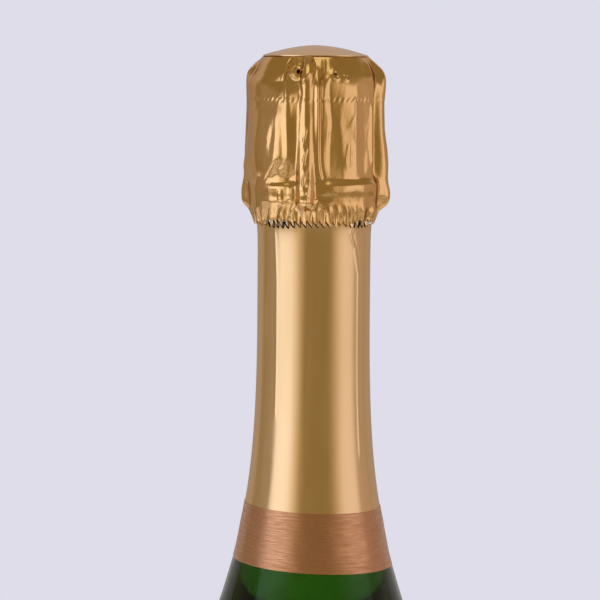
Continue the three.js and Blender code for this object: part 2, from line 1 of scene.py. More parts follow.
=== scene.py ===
import bmesh
import bpy
import numpy as np
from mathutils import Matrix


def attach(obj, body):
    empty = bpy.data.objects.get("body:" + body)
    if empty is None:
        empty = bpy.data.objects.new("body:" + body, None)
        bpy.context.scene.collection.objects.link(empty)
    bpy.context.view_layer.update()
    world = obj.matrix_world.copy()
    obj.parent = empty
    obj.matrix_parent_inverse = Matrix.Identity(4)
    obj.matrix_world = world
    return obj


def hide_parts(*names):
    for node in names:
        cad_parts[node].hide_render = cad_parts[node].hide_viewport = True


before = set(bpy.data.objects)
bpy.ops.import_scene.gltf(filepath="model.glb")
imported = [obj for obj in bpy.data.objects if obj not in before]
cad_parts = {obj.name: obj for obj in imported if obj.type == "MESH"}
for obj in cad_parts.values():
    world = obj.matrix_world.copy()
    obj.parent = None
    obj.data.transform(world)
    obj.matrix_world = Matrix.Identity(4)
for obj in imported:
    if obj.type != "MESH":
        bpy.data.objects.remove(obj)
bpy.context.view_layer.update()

# Glass bottle
# Heavy dark green soda-lime glass, blown in an iron mould, with a deep punt under the base and a
# ring below its rounded mouth for the wire cage. The mould leaves two fine seams and a knurled foot.
MM = 0.001
GLASS_HEIGHT = 300.0
BODY_RADIUS, BODY_WALL = 44.25, 4.4
SHOULDER_HEIGHT, SHOULDER_PULL = 135.0, 26.0
WAIST_HEIGHT, WAIST_RADIUS, WAIST_SLOPE, WAIST_PULL = 178.0, 23.6, 0.31, 21.0
HEEL_HEIGHT, HEEL_INSET, HEEL_STEPS, BEARING_WIDTH = 8.0, 6.0, 14, 4.5
PUNT_DEPTH, BASE_WALL, INNER_HEEL = 32.0, 7.0, 9.0
NECK_RADIUS, NECK_BOTTOM, NECK_PULL = 14.4, 252.0, 40.0
BORE_RADIUS, BORE_BOTTOM, MOUTH_ROUND = 9.0, 254.0, 0.8
RING_RADIUS, RING_BOTTOM, RING_TOP, RING_ROUND = 15.9, 283.4, 288.4, 0.8
GROOVE_RADIUS, BEAD_RADIUS, BEAD_BOTTOM, BEAD_ROUND = 13.3, 14.3, 293.4, 2.2
GLASS_COLUMNS = 240
MOULD_SEAM_RISE, MOULD_SEAM_WIDTH = 0.12, 0.35
KNURLS, KNURL_DEPTH = 48, 0.25
MERGE_DISTANCE = 1e-6


def bezier(start, pull, push, end, steps):
    """Cubic curve: the two ends and their two handles, weighted by the cubic Bernstein terms."""
    t = np.linspace(0, 1, steps)[:, None]
    weights = np.hstack([(1 - t) ** 3, 3 * t * (1 - t) ** 2, 3 * t**2 * (1 - t), t**3])
    return weights @ np.array([start, pull, push, end], float)


def arc(centre, radii, first, last, steps):
    """Part of a circle or an ellipse: the centre plus the one radius or the two radii times the cosine and the
    sine, angles in degrees."""
    turn = np.radians(np.linspace(first, last, steps))
    return np.array(centre) + np.array(radii) * np.c_[np.cos(turn), np.sin(turn)]


def turned(angle, radius, height):
    """Points round the axis: x is the radius times the sine, y is minus the radius times the cosine. The angle
    is in degrees from the front (-Y) towards the right (+X)."""
    turn = np.radians(angle)
    return np.stack(np.broadcast_arrays(radius * np.sin(turn), -radius * np.cos(turn), height), axis=-1)


def make_piece(name, material, grids, ring=True, shut=False, flat=None, marks=None, sharp=35.0):
    """Quads over each grid of points in mm: corner (i, j) joins (i, j+1), (i+1, j+1) and (i+1, j). A ring joins
    the last column to the first, a shut grid the last row to the first, and points that coincide, as at a
    pole, are merged. Flat gives each corner's place on the flat sheet in mm, and marks a value per point."""
    corners, faces, first = [], [], 0
    for grid in grids:
        rows, columns = grid.shape[:2]
        number = first + np.arange(rows * columns).reshape(rows, columns)
        number = np.pad(number, ((0, int(shut)), (0, int(ring))), mode="wrap")
        quads = np.stack([number[:-1, :-1], number[:-1, 1:], number[1:, 1:], number[1:, :-1]], axis=-1)
        corners.append(grid.reshape(-1, 3) * MM)
        faces.append(quads.reshape(-1, 4))
        first += rows * columns
    mesh = bpy.data.meshes.new(name)
    mesh.from_pydata(np.concatenate(corners).tolist(), [], np.concatenate(faces).tolist())
    if flat is not None:
        places = np.stack([flat[:-1, :-1], flat[:-1, 1:], flat[1:, 1:], flat[1:, :-1]], axis=-2)
        mesh.uv_layers.new(name="flat").data.foreach_set("uv", places.astype(np.float32).ravel())
    for mark, values in (marks or {}).items():
        mesh.attributes.new(mark, "FLOAT", "POINT").data.foreach_set("value", values.astype(np.float32).ravel())
    shell = bmesh.new()
    shell.from_mesh(mesh)
    bmesh.ops.remove_doubles(shell, verts=shell.verts, dist=MERGE_DISTANCE)
    bmesh.ops.dissolve_degenerate(shell, edges=shell.edges, dist=MERGE_DISTANCE)
    shell.to_mesh(mesh)
    shell.free()
    mesh.shade_smooth()
    mesh.set_sharp_from_angle(angle=np.radians(sharp))
    mesh.materials.append(material)
    piece = bpy.data.objects.new(name, mesh)
    bpy.context.scene.collection.objects.link(piece)
    return piece


def hex_colour(code):
    """Linear RGBA of an sRGB hex code: a channel near black is divided by 12.92, and any other is raised to
    the power 2.4 after its offset of 0.055."""
    channel = np.array([int(code[i : i + 2], 16) for i in (1, 3, 5)]) / 255
    linear = np.where(channel < 0.04045, channel / 12.92, ((channel + 0.055) / 1.055) ** 2.4)
    return (*linear.tolist(), 1.0)


def new_material(name):
    """An empty node material, and its node tree."""
    material = bpy.data.materials.new(name)
    material.use_nodes = True
    material.node_tree.nodes.clear()
    return material, material.node_tree


def add_node(tree, kind, sockets=(), **settings):
    """One node with its settings. The sockets come by name, or as a list in the node's own order. Each gets a
    value, the linear colour of a hex code, or a link from an output or from a node's first output."""
    node = tree.nodes.new("ShaderNode" + kind)
    for setting, value in settings.items():
        setattr(node, setting, value)
    for socket, value in sockets.items() if isinstance(sockets, dict) else enumerate(sockets):
        if isinstance(value, bpy.types.Node):
            value = value.outputs[0]
        if isinstance(value, bpy.types.NodeSocket):
            tree.links.new(value, node.inputs[socket])
        else:
            node.inputs[socket].default_value = hex_colour(value) if isinstance(value, str) else value
    return node


bearing_radius = BODY_RADIUS - HEEL_INSET
waist, waist_lean = np.array([WAIST_RADIUS, WAIST_HEIGHT]), np.array([-WAIST_SLOPE * WAIST_PULL, WAIST_PULL])
shoulder = [(BODY_RADIUS, SHOULDER_HEIGHT), (BODY_RADIUS, SHOULDER_HEIGHT + SHOULDER_PULL)]
neck = [(NECK_RADIUS, NECK_BOTTOM - NECK_PULL), (NECK_RADIUS, NECK_BOTTOM)]
flank = np.vstack(
    [
        arc((bearing_radius, HEEL_HEIGHT), (HEEL_INSET, HEEL_HEIGHT), -90, 0, HEEL_STEPS),
        bezier(*shoulder, waist - waist_lean, waist, 40),
        bezier(waist, waist + waist_lean, *neck, 40)[1:],
        [(NECK_RADIUS, RING_BOTTOM)],
    ]
)


def glass_radius(height):
    """Outside radius of the glass at a height below the ring, read off the flank."""
    return np.interp(height, flank[:, 1], flank[:, 0])


def punt(foot, floor):
    """Profile of the punt: a cone with a round tip, from its foot up and in to the axis."""
    tip = floor + PUNT_DEPTH
    return bezier((foot, floor), (0.7 * foot, floor + 0.45 * PUNT_DEPTH), (0.45 * foot, tip), (0, tip), 28)


def glass_inside(spread):
    """Profile of the inside from the bore down to the middle of the punt, moved out into the wall by a spread.
    The wall thickens from the body to the bore along a smoothstep."""
    height = np.linspace(BORE_BOTTOM, SHOULDER_HEIGHT, 48)
    share = (height - SHOULDER_HEIGHT) / (BORE_BOTTOM - SHOULDER_HEIGHT)
    bore_wall = glass_radius(BORE_BOTTOM) - BORE_RADIUS
    wall = BODY_WALL + (bore_wall - BODY_WALL) * share**2 * (3 - 2 * share)
    foot = BODY_RADIUS - BODY_WALL - INNER_HEEL
    return np.vstack(
        [
            np.c_[glass_radius(height) - wall + spread, height],
            arc((foot, BASE_WALL + INNER_HEEL), INNER_HEEL + spread, 0, -90, HEEL_STEPS),
            punt(foot, BASE_WALL - spread)[1:],
        ]
    )


punt_under = punt(bearing_radius - BEARING_WIDTH, 0)[::-1]
bearing = np.c_[np.linspace(bearing_radius - BEARING_WIDTH, bearing_radius, 7), np.zeros(7)][1:-1]
ring_edge = RING_RADIUS - RING_ROUND
ring_to_groove = (GROOVE_RADIUS, RING_TOP) + np.array([(1.3, 0.2), (0.3, 0.5), (0, 1.2), (0, 2.6)])
groove_to_bead = [(GROOVE_RADIUS, BEAD_BOTTOM - 1.2), (GROOVE_RADIUS, BEAD_BOTTOM)]
groove_to_bead += [(BEAD_RADIUS, BEAD_BOTTOM + 0.2), (BEAD_RADIUS, BEAD_BOTTOM + 1.6)]
glass_profile = np.vstack(
    [
        punt_under,
        bearing,
        flank,
        arc((ring_edge, RING_BOTTOM + RING_ROUND), RING_ROUND, -90, 0, 6),
        arc((ring_edge, RING_TOP - RING_ROUND), RING_ROUND, 0, 90, 6),
        bezier(*ring_to_groove, 8),
        bezier(*groove_to_bead, 8),
        arc((BEAD_RADIUS - BEAD_ROUND, GLASS_HEIGHT - BEAD_ROUND), BEAD_ROUND, 0, 90, 10),
        arc((BORE_RADIUS + MOUTH_ROUND, GLASS_HEIGHT - MOUTH_ROUND), MOUTH_ROUND, 90, 180, 7),
        glass_inside(0),
    ]
)
seam_offsets = np.array([-1.2, -0.8, -0.5, -0.3, -0.15, 0, 0.15, 0.3, 0.5, 0.8, 1.2])
even_angles = np.arange(GLASS_COLUMNS) * 360 / GLASS_COLUMNS
glass_angles = np.unique(np.concatenate([even_angles, 90 + seam_offsets, 270 + seam_offsets]))
profile_radius, profile_height = glass_profile[:, :1], glass_profile[:, 1:]
from_seam = np.radians(np.abs(glass_angles % 180 - 90)) * profile_radius
flank_start = len(punt_under) + len(bearing)
on_flank, knurl = np.zeros_like(profile_radius), np.zeros_like(profile_radius)
on_flank[flank_start + HEEL_STEPS : flank_start + len(flank) - 1] = 1
knurl[len(punt_under) : flank_start] = KNURL_DEPTH
glass_grid = turned(
    glass_angles,
    profile_radius + MOULD_SEAM_RISE * on_flank * np.exp(-((from_seam / MOULD_SEAM_WIDTH) ** 2)),
    profile_height + knurl * (1 - np.cos(np.radians(KNURLS * glass_angles))) / 2,
)

# Soda-lime glass, iron-moulded: clear and glossy, with the green of iron and chrome deepening with its
# thickness, and a surface that waves a little over some 20 mm. A tint holds its mirror images back.
green_glass, tree = new_material("green_soda_lime_glass")
place = add_node(tree, "TexCoord").outputs["Object"]
waves = add_node(tree, "TexNoise", {"Vector": place, "Scale": 1 / (20 * MM), "Detail": 1.0})
ripple = add_node(tree, "Bump", {"Height": waves, "Strength": 0.12, "Distance": 0.4 * MM})
clear = {"Base Color": "#d8edbe", "Specular Tint": "#a8ab98", "Roughness": 0.02, "IOR": 1.52, "Normal": ripple}
shader = add_node(tree, "BsdfPrincipled", {**clear, "Transmission Weight": 1.0})
green_depth = add_node(tree, "VolumeAbsorption", {"Color": "#62bf05", "Density": 370.0})
add_node(tree, "OutputMaterial", {"Surface": shader, "Volume": green_depth})

glass = make_piece("bottle", green_glass, [glass_grid])
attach(glass, "bottle")
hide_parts("glass_bottle")

# Wine
# 75 cl of pale gold sparkling wine, still under pressure, so without bubbles. It wets the glass, so it
# reaches a hair into the wall here and no air shows between them; its surface curls up at the edge.
WINE_LEVEL, MENISCUS, MENISCUS_POWER, WETTING = 221.0, 1.2, 8, 0.12


def lathe(profile):
    """A profile of radius and height, turned round the axis in steps of 3 degrees."""
    return turned(np.arange(0, 360, 3.0), profile[:, :1], profile[:, 1:])


wine_wall = glass_inside(WETTING)[::-1]
wine_wall = wine_wall[wine_wall[:, 1] < WINE_LEVEL]
surface_share = np.linspace(1, 0, 16)
surface_height = WINE_LEVEL + MENISCUS * (surface_share**MENISCUS_POWER - 1)
wine_profile = np.vstack([wine_wall, np.c_[wine_wall[-1, 0] * surface_share, surface_height]])

# Sparkling white wine: water and alcohol, clear, a little golden in depth.
pale_wine, tree = new_material("pale_gold_wine")
place = add_node(tree, "TexCoord").outputs["Object"]
haze = add_node(tree, "TexNoise", {"Vector": place, "Scale": 1 / (15 * MM)})
tint = add_node(tree, "MixRGB", [haze, "#fbf6df", "#f6efcf"])
clear = {"Base Color": tint, "Roughness": 0.0, "IOR": 1.34, "Transmission Weight": 1.0}
shader = add_node(tree, "BsdfPrincipled", clear)
gold_depth = add_node(tree, "VolumeAbsorption", {"Color": "#e8c95a", "Density": 6.0})
add_node(tree, "OutputMaterial", {"Surface": shader, "Volume": gold_depth})

wine = make_piece("wine_fill", pale_wine, [lathe(wine_profile)])
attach(wine, "bottle")
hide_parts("wine")

# Cork
# A body of pressed cork granules with two discs of natural cork glued under it. The shank is squeezed
# into the bore, and the part outside swells over the rim into a mushroom that the cage holds down.
SHANK_RADIUS, SHANK_BOTTOM, CORK_DISC, DISC_GLUE, CUT_ROUND = 8.8, 276.0, 6.0, 0.05, 0.1
CORK_SEAT, HEAD_RADIUS, HEAD_UNDERCUT, HEAD_FILLET = 300.2, 15.5, 3.2, 4.2
CROWN_TOP, CROWN_DROP = 319.8, 2.5
CROWN_RADIUS = HEAD_RADIUS - HEAD_FILLET
FILLET_HEIGHT = CROWN_TOP - CROWN_DROP - HEAD_FILLET
CORK_UNEVEN, FREE_WIDTH = 0.1, 3
WAVES = 24


def uneven(angle, height, seed, most_round, pitch):
    """About -1 to 1: a sum of seeded cosine waves, each with a whole number of waves round the axis and, along
    it, a pitch of at least the given one."""
    rng = np.random.default_rng(seed)
    counts = rng.integers(1, most_round + 1, WAVES)
    rates = rng.uniform(-1, 1, WAVES) / pitch
    phases = rng.uniform(0, 2 * np.pi, WAVES)
    total = 0
    for count, rate, phase in zip(counts, rates, phases):
        total = total + np.cos(np.radians(count * angle) + 2 * np.pi * rate * height + phase)
    return total / np.sqrt(WAVES)


def cork_top(radius):
    """Height of the cork's crown, a shallow dome that runs into a round edge."""
    crown = CROWN_TOP - CROWN_DROP * (radius / CROWN_RADIUS) ** 2
    across = np.maximum(radius - CROWN_RADIUS, 0)
    edge = FILLET_HEIGHT + np.sqrt(np.maximum(HEAD_FILLET**2 - across**2, 0))
    return np.where(radius <= CROWN_RADIUS, crown, edge)


def cork_piece(name, profile, swell, material, node):
    """A turned cork piece whose sides are uneven by the swell where they are free of the bore."""
    angle = np.arange(0, 360, 2.5)
    radius, height = profile[:, :1], profile[:, 1:]
    free = np.clip((radius - SHANK_RADIUS) / FREE_WIDTH, 0, 1)
    bumps = swell * uneven(angle, height, seed=3, most_round=14, pitch=5.0) * free
    piece = make_piece(name, material, [turned(angle, radius + bumps, height)])
    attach(piece, "cork")
    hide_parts(node)


# Agglomerated cork: granules of 1.5 to 3 mm in several browns, glued together, with dark lines of binder
# between them and a dry, matt, pitted surface.
granule_cork, tree = new_material("agglomerated_cork")
place = add_node(tree, "TexCoord").outputs["Object"]
granule_size = {"Vector": place, "Scale": 1 / (2.4 * MM), "Randomness": 1.0}
granules = add_node(tree, "TexVoronoi", granule_size)
binder = add_node(tree, "TexVoronoi", granule_size, feature="DISTANCE_TO_EDGE")
pores = add_node(tree, "TexNoise", {"Vector": place, "Scale": 1 / (0.6 * MM), "Detail": 4.0})
granule_tone = add_node(tree, "SeparateColor", [granules.outputs["Color"]])
browns = add_node(tree, "MixRGB", [granule_tone, "#a97748", "#d9b384"])
pitted = add_node(tree, "MixRGB", [pores, browns, "#8c5f38"], blend_type="MULTIPLY")
gap = add_node(tree, "MapRange", [binder, 0.0, 0.09, 0.75, 0.0])
bound = add_node(tree, "MixRGB", [gap, pitted, "#5d3d22"])
relief = add_node(tree, "Bump", {"Height": gap, "Strength": 0.6, "Distance": 0.2 * MM}, invert=True)
dry = {"Base Color": bound, "Roughness": 0.85, "IOR": 1.45, "Normal": relief}
add_node(tree, "OutputMaterial", {"Surface": add_node(tree, "BsdfPrincipled", dry)})

# Natural cork: warm tan, cut across the bark, with fine growth lines 1 mm apart and brown pores.
sheet_cork, tree = new_material("natural_cork")
place = add_node(tree, "TexCoord").outputs["Object"]
line_pitch = {"Vector": place, "Scale": 1 / (6.3 * MM), "Distortion": 3.0, "Detail": 2.0, "Detail Scale": 1.5}
growth = add_node(tree, "TexWave", line_pitch).outputs["Fac"]
lenticels = add_node(tree, "TexNoise", {"Vector": place, "Scale": 1 / (1.5 * MM), "Detail": 3.0})
tans = add_node(tree, "MixRGB", [growth, "#c99f6d", "#dcb98a"])
hollow = add_node(tree, "MapRange", [lenticels, 0.6, 0.7, 0.0, 0.8])
bark = add_node(tree, "MixRGB", [hollow, tans, "#7a5230"])
relief = add_node(tree, "Bump", {"Height": hollow, "Strength": 0.5, "Distance": 0.2 * MM}, invert=True)
dry = {"Base Color": bark, "Roughness": 0.8, "IOR": 1.45, "Normal": relief}
add_node(tree, "OutputMaterial", {"Surface": add_node(tree, "BsdfPrincipled", dry)})

crown_radii = np.linspace(CROWN_RADIUS, 0, 18)[1:]
head_bottom = CORK_SEAT + HEAD_UNDERCUT
cork_body = np.vstack(
    [
        np.c_[np.linspace(0, SHANK_RADIUS, 8), np.full(8, SHANK_BOTTOM + 2 * CORK_DISC)],
        [(SHANK_RADIUS, CORK_SEAT)],
        arc((HEAD_RADIUS - HEAD_UNDERCUT, head_bottom), HEAD_UNDERCUT, -90, 0, 12),
        np.c_[np.full(10, HEAD_RADIUS), np.linspace(head_bottom, FILLET_HEIGHT, 10)][1:],
        arc((CROWN_RADIUS, FILLET_HEIGHT), HEAD_FILLET, 0, 90, 16)[1:],
        np.c_[crown_radii, cork_top(crown_radii)],
    ]
)
cork_piece("cork_mushroom", cork_body, CORK_UNEVEN, granule_cork, "cork_body")


def cork_disc(bottom, edge):
    """Profile of a glued disc with rounded edges."""
    top = bottom + CORK_DISC - DISC_GLUE
    return np.vstack(
        [
            [(0, bottom)],
            arc((SHANK_RADIUS - edge, bottom + edge), edge, -90, 0, 6),
            arc((SHANK_RADIUS - CUT_ROUND, top - CUT_ROUND), CUT_ROUND, 0, 90, 4),
            [(0, top)],
        ]
    )


low_disc, high_disc = cork_disc(SHANK_BOTTOM, 0.8), cork_disc(SHANK_BOTTOM + CORK_DISC, CUT_ROUND)
cork_piece("cork_disc_low", low_disc, 0, sheet_cork, "cork_disc_lower")
cork_piece("cork_disc_high", high_disc, 0, sheet_cork, "cork_disc_upper")

# Cage cap
# A disc of tinplate, gold lacquered and pressed to the cork's crown, with a channel for the top ring and
# a rolled edge. It spreads the pull of the wires over the cork.
CAP_RADIUS, CAP_THICKNESS, CAP_GAP = 13.0, 0.3, 0.2
TOP_RING_RADIUS = 7.4
CHANNEL_DEPTH, CHANNEL_WIDTH, ROLL_RISE, ROLL_INSET, ROLL_WIDTH = 0.15, 0.9, 0.12, 0.5, 0.4


def cap_top(radius):
    """Height of the cap's upper face: the cork's crown, its gap and the sheet's thickness."""
    return cork_top(radius) + CAP_GAP + CAP_THICKNESS


# Lacquered tinplate: cold-rolled steel under a clear gold lacquer, bright, with faint rolling marks 0.5 mm
# apart.
tinplate, tree = new_material("gold_lacquered_tinplate")
place = add_node(tree, "TexCoord").outputs["Object"]
rolling = add_node(tree, "Mapping", {"Vector": place, "Scale": (1.0, 0.05, 1.0)})
scuffs = add_node(tree, "TexNoise", {"Vector": rolling, "Scale": 1 / (0.5 * MM), "Detail": 2.0})
sheen = add_node(tree, "MapRange", [scuffs, 0.3, 0.7, 0.22, 0.36])
shader = add_node(tree, "BsdfPrincipled", {"Base Color": "#d8a85c", "Metallic": 1.0, "Roughness": sheen})
add_node(tree, "OutputMaterial", {"Surface": shader})

cap_radii = np.linspace(0, CAP_RADIUS, 60)
pressed = ROLL_RISE * np.exp(-((((cap_radii - CAP_RADIUS + ROLL_INSET) / ROLL_WIDTH) ** 2)))
pressed = pressed - CHANNEL_DEPTH * np.exp(-(((cap_radii - TOP_RING_RADIUS) / CHANNEL_WIDTH) ** 4))
cap_over = np.c_[cap_radii, cap_top(cap_radii) + pressed]
cap_profile = np.vstack([cap_over - (0, CAP_THICKNESS), cap_over[::-1]])
cap = make_piece("cage_cap_disc", tinplate, [lathe(cap_profile)])
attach(cap, "cage")
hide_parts("cage_cap")

# Wire cage
# Galvanised steel wire of just under 1 mm. Each leg is one wire that hooks the top ring, runs down
# twisted round itself and loops the belt; the belt lies under the glass ring and ends in the eyelet.
WIRE_RADIUS = 0.475
BELT_HEIGHT, BELT_RADIUS, BELT_KINK = 282.725, 15.075, 20.0
FOOT_RADIUS, EYE_RADIUS, EYE_TURN, HOOK_TURN = 17.725, 1.15, (62, -242), (170, 20)
LEG_ANGLES = {"front": -7.0, "right": 83.0, "back": 173.0, "left": 263.0}
LEG_TWISTS, LEG_STRAIGHT, LEG_KNEE, LEG_STEPS = 9.5, 306.6, (17.35, 295.0), 160
LEG_LIFT = CAP_THICKNESS + 2 * CAP_GAP + 2 * WIRE_RADIUS
EYELET_ANGLE, EYELET_RADIUS = -38.0, 17.05
STEM_TOP, STEM_TWISTS = 291.4, 2.5
LOOP_HEIGHT, LOOP_HALF_WIDTH, LOOP_HALF_HEIGHT = 296.925, 4.025, 5.525
UP = np.array([0, 0, 1.0])


def unit(vectors):
    """The vectors, each divided by its own length."""
    return vectors / np.linalg.norm(vectors, axis=1, keepdims=True)


def tube(path, across, closed=False, sides=10):
    """Round wire: at each point of a path a circle in the plane of two axes, one square to the path and to a
    given direction across it, and one square to both. Open ends are drawn to a point on the path."""
    before, after = np.roll(path, 1, axis=0), np.roll(path, -1, axis=0)
    if not closed:
        before[0], after[-1] = path[0], path[-1]
    along = unit(after - before)
    side = unit(np.cross(along, across))
    other = np.cross(along, side)
    turn = 2 * np.pi * np.arange(sides)[:, None] / sides
    grid = path[:, None] + WIRE_RADIUS * (side[:, None] * np.cos(turn) + other[:, None] * np.sin(turn))
    if closed:
        return grid
    first, last = np.repeat(path[:1], sides, axis=0), np.repeat(path[-1:], sides, axis=0)
    return np.concatenate([first[None], grid, last[None]])


def smooth_line(height, points):
    """Value at a height on a smooth line through (height, value) points: on each span a cubic whose end slopes
    are the mean slopes of the points there."""
    heights, values = np.array(points, float).T
    slope = np.gradient(values, heights)
    span = np.clip(np.searchsorted(heights, height, side="right") - 1, 0, len(heights) - 2)
    width = heights[span + 1] - heights[span]
    t = np.clip((height - heights[span]) / width, 0, 1)
    return (
        (1 + 2 * t) * (1 - t) ** 2 * values[span]
        + t * (1 - t) ** 2 * width * slope[span]
        + t**2 * (3 - 2 * t) * values[span + 1]
        + t**2 * (t - 1) * width * slope[span + 1]
    )


def off_edge(degrees, distance):
    """Radius and height at a distance outside the cork's round edge, at an angle down from straight up."""
    reach = HEAD_FILLET + distance
    turn = np.radians(degrees)
    return CROWN_RADIUS + reach * np.sin(turn), FILLET_HEIGHT + reach * np.cos(turn)


def in_plane(line, angle):
    """Points of a wire that lies about the upright plane at an angle, from its radius, its height and its way
    aside from the plane."""
    outward, sideways = turned(angle, 1.0, 0.0), turned(angle + 90, 1.0, 0.0)
    return line[:, :1] * outward + line[:, 2:] * sideways + line[:, 1:2] * UP


def flat_wire(line):
    """A line of radius and height, with no way aside."""
    return np.pad(line, ((0, 0), (0, 1)))


# Galvanised steel wire: drawn, zinc coated, grey and softly shiny, with a mottled spangle of about 1 mm.
zinc_wire, tree = new_material("galvanised_steel_wire")
place = add_node(tree, "TexCoord").outputs["Object"]
spangle = add_node(tree, "TexNoise", {"Vector": place, "Scale": 1 / (1.0 * MM), "Detail": 3.0})
greys = add_node(tree, "MixRGB", [spangle, "#a9a8a6", "#d0cfcc"])
dullness = add_node(tree, "MapRange", [spangle, 0.3, 0.7, 0.25, 0.42])
shader = add_node(tree, "BsdfPrincipled", {"Base Color": greys, "Metallic": 1.0, "Roughness": dullness})
add_node(tree, "OutputMaterial", {"Surface": shader})

leg_start = TOP_RING_RADIUS + WIRE_RADIUS + 2 * CAP_GAP
leg_points = [(leg_start, cap_top(leg_start) + CAP_GAP + 2 * WIRE_RADIUS)]
leg_points += [off_edge(degrees, LEG_LIFT) for degrees in (20, 45, 75)]
leg_points += [(leg_points[-1][0], LEG_STRAIGHT), LEG_KNEE, (FOOT_RADIUS, BELT_HEIGHT + EYE_RADIUS)]
leg_share = np.linspace(0, len(leg_points) - 1, LEG_STEPS)
leg_line = np.stack([smooth_line(leg_share, list(enumerate(values))) for values in zip(*leg_points)], axis=1)
leg_slope = np.gradient(leg_line, axis=0)
leg_out = unit(np.c_[-leg_slope[:, 1], leg_slope[:, 0]])
leg_turn = 2 * np.pi * LEG_TWISTS * np.linspace(1, 0, LEG_STEPS)[:, None]
strand_shift = WIRE_RADIUS * np.hstack([np.cos(leg_turn) * leg_out, np.sin(leg_turn)])
strand_line = flat_wire(leg_line)
eye_line = flat_wire(arc((FOOT_RADIUS, BELT_HEIGHT), EYE_RADIUS, *EYE_TURN, 28))
hook_height = cap_top(TOP_RING_RADIUS) + CAP_GAP + WIRE_RADIUS
hook_line = flat_wire(arc((TOP_RING_RADIUS, hook_height), 2 * WIRE_RADIUS, *HOOK_TURN, 14))
leg_wire = np.vstack([hook_line, (strand_line + strand_shift)[3:-2], eye_line, (strand_line - strand_shift)[-3::-1]])
for side, leg_angle in LEG_ANGLES.items():
    leg_tube = tube(in_plane(leg_wire, leg_angle), turned(leg_angle + 90, 1.0, 0.0))
    leg = make_piece("cage_leg_wire_" + side, zinc_wire, [leg_tube])
    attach(leg, "cage")
    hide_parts("cage_leg_" + side)

round_angles = np.arange(0, 360, 2.5)
ring_tube = tube(turned(round_angles, TOP_RING_RADIUS, hook_height), UP, closed=True)
top_ring = make_piece("cage_ring_wire", zinc_wire, [ring_tube], shut=True)
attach(top_ring, "cage")
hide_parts("cage_ring")


def turn_from(angle, middle):
    """Signed turn in degrees from a middle angle, within half a turn."""
    return (angle - middle + 180) % 360 - 180


kinks = [(angle, FOOT_RADIUS) for angle in LEG_ANGLES.values()] + [(EYELET_ANGLE, EYELET_RADIUS)]
belt_radius = np.full_like(round_angles, BELT_RADIUS)
for kink_angle, kink_reach in kinks:
    share = np.clip(np.abs(turn_from(round_angles, kink_angle)) / BELT_KINK, 0, 1)
    kinked = BELT_RADIUS + (kink_reach - BELT_RADIUS) * np.cos(share * np.pi / 2) ** 2
    belt_radius = np.maximum(belt_radius, kinked)
belt_tube = tube(turned(round_angles, belt_radius, BELT_HEIGHT), UP, closed=True)
belt = make_piece("cage_belt_wire", zinc_wire, [belt_tube], shut=True)
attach(belt, "cage")
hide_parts("cage_belt")

stem_share = np.linspace(0, 1, 48)[:, None]
stem_turn = 2 * np.pi * STEM_TWISTS * (1 - stem_share)
stem_height = BELT_HEIGHT + (STEM_TOP - BELT_HEIGHT) * stem_share
stem_shift = WIRE_RADIUS * np.hstack([np.sin(stem_turn), 0 * stem_turn, np.cos(stem_turn)])
stem_line = np.hstack([np.full_like(stem_share, EYELET_RADIUS), stem_height, 0 * stem_share])
loop_start = np.degrees(np.arcsin(WIRE_RADIUS / LOOP_HALF_WIDTH))
loop = arc((0, LOOP_HEIGHT), (LOOP_HALF_WIDTH, LOOP_HALF_HEIGHT), loop_start - 90, 270 - loop_start, 48)
loop_line = np.c_[np.full(len(loop), EYELET_RADIUS), loop[:, ::-1]]
eyelet_wire = np.vstack([(stem_line + stem_shift)[:-2], loop_line, (stem_line - stem_shift)[-3::-1]])
eyelet_tube = tube(in_plane(eyelet_wire, EYELET_ANGLE), turned(EYELET_ANGLE, 1.0, 0.0))
eyelet = make_piece("cage_eyelet_wire", zinc_wire, [eyelet_tube])
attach(eyelet, "eyelet")
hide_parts("cage_eyelet")

# Foil hood
# Gold lacquered aluminium foil, drawn down over the cork and cage and smoothed on by hand, so that the
# ring, the legs and the eyelet press through and the spare foil lies in creases. It ends at a tear line.
HOOD_COLUMNS, HOOD_ROWS, LINING_ROWS, FRONT_CROWDING = 400, 180, 40, 0.45
HEM_HEIGHT, SEAM_HEIGHT, SEAM_RADIUS, FLANGE, FLANGE_RISE = 276.0, 319.8, 13.65, 2.0, 0.35
ROW_SHARES, ROW_HEIGHTS = (0, 0.2, 0.46, 1), (HEM_HEIGHT, 280.3, 290.0, SEAM_HEIGHT)
FOIL_GAUGE, FOIL_SEED, FOLD_FADE, SEAM_HOLD = 0.12, 11, 2.2, (318.2, 319.7)

# Radius of the foil by height where it lies on the cork and the glass, and over the legs of the cage.
CORE_LINE = [
    (274, 15.2), (276, 15.35), (277, 15.6), (278.2, 16.05), (279.6, 16.45), (281, 16.75), (282.4, 16.95),
    (284, 17.1), (285.6, 17.3), (286.4, 17.33), (287.2, 17.22), (287.8, 16.88), (288.5, 16.45), (289.4, 16.1),
    (291.2, 15.85), (293, 15.75), (296, 15.75), (301, 15.95), (305, 16.2), (310, 16.35), (313.3, 16.3),
    (315.5, 15.8), (317.5, 14.9), (319.8, 13.65),
]
LEG_LINE = [
    (274, 15.2), (276, 15.35), (277.1, 15.6), (278.7, 16.4), (280.2, 17.5), (281.3, 19), (282.7, 19.75),
    (284.9, 19.85), (287, 19.4), (292.8, 19.3), (296, 19), (299.1, 18.5), (303, 18.1), (308.5, 18.1),
    (311.7, 18.4), (314.8, 18.3), (316.4, 17.6), (318, 16), (319.8, 13.85),
]
LEG_HALF, LEG_PRESS = 3.6, {"right": 1.0, "back": 1.0, "left": 0.8}

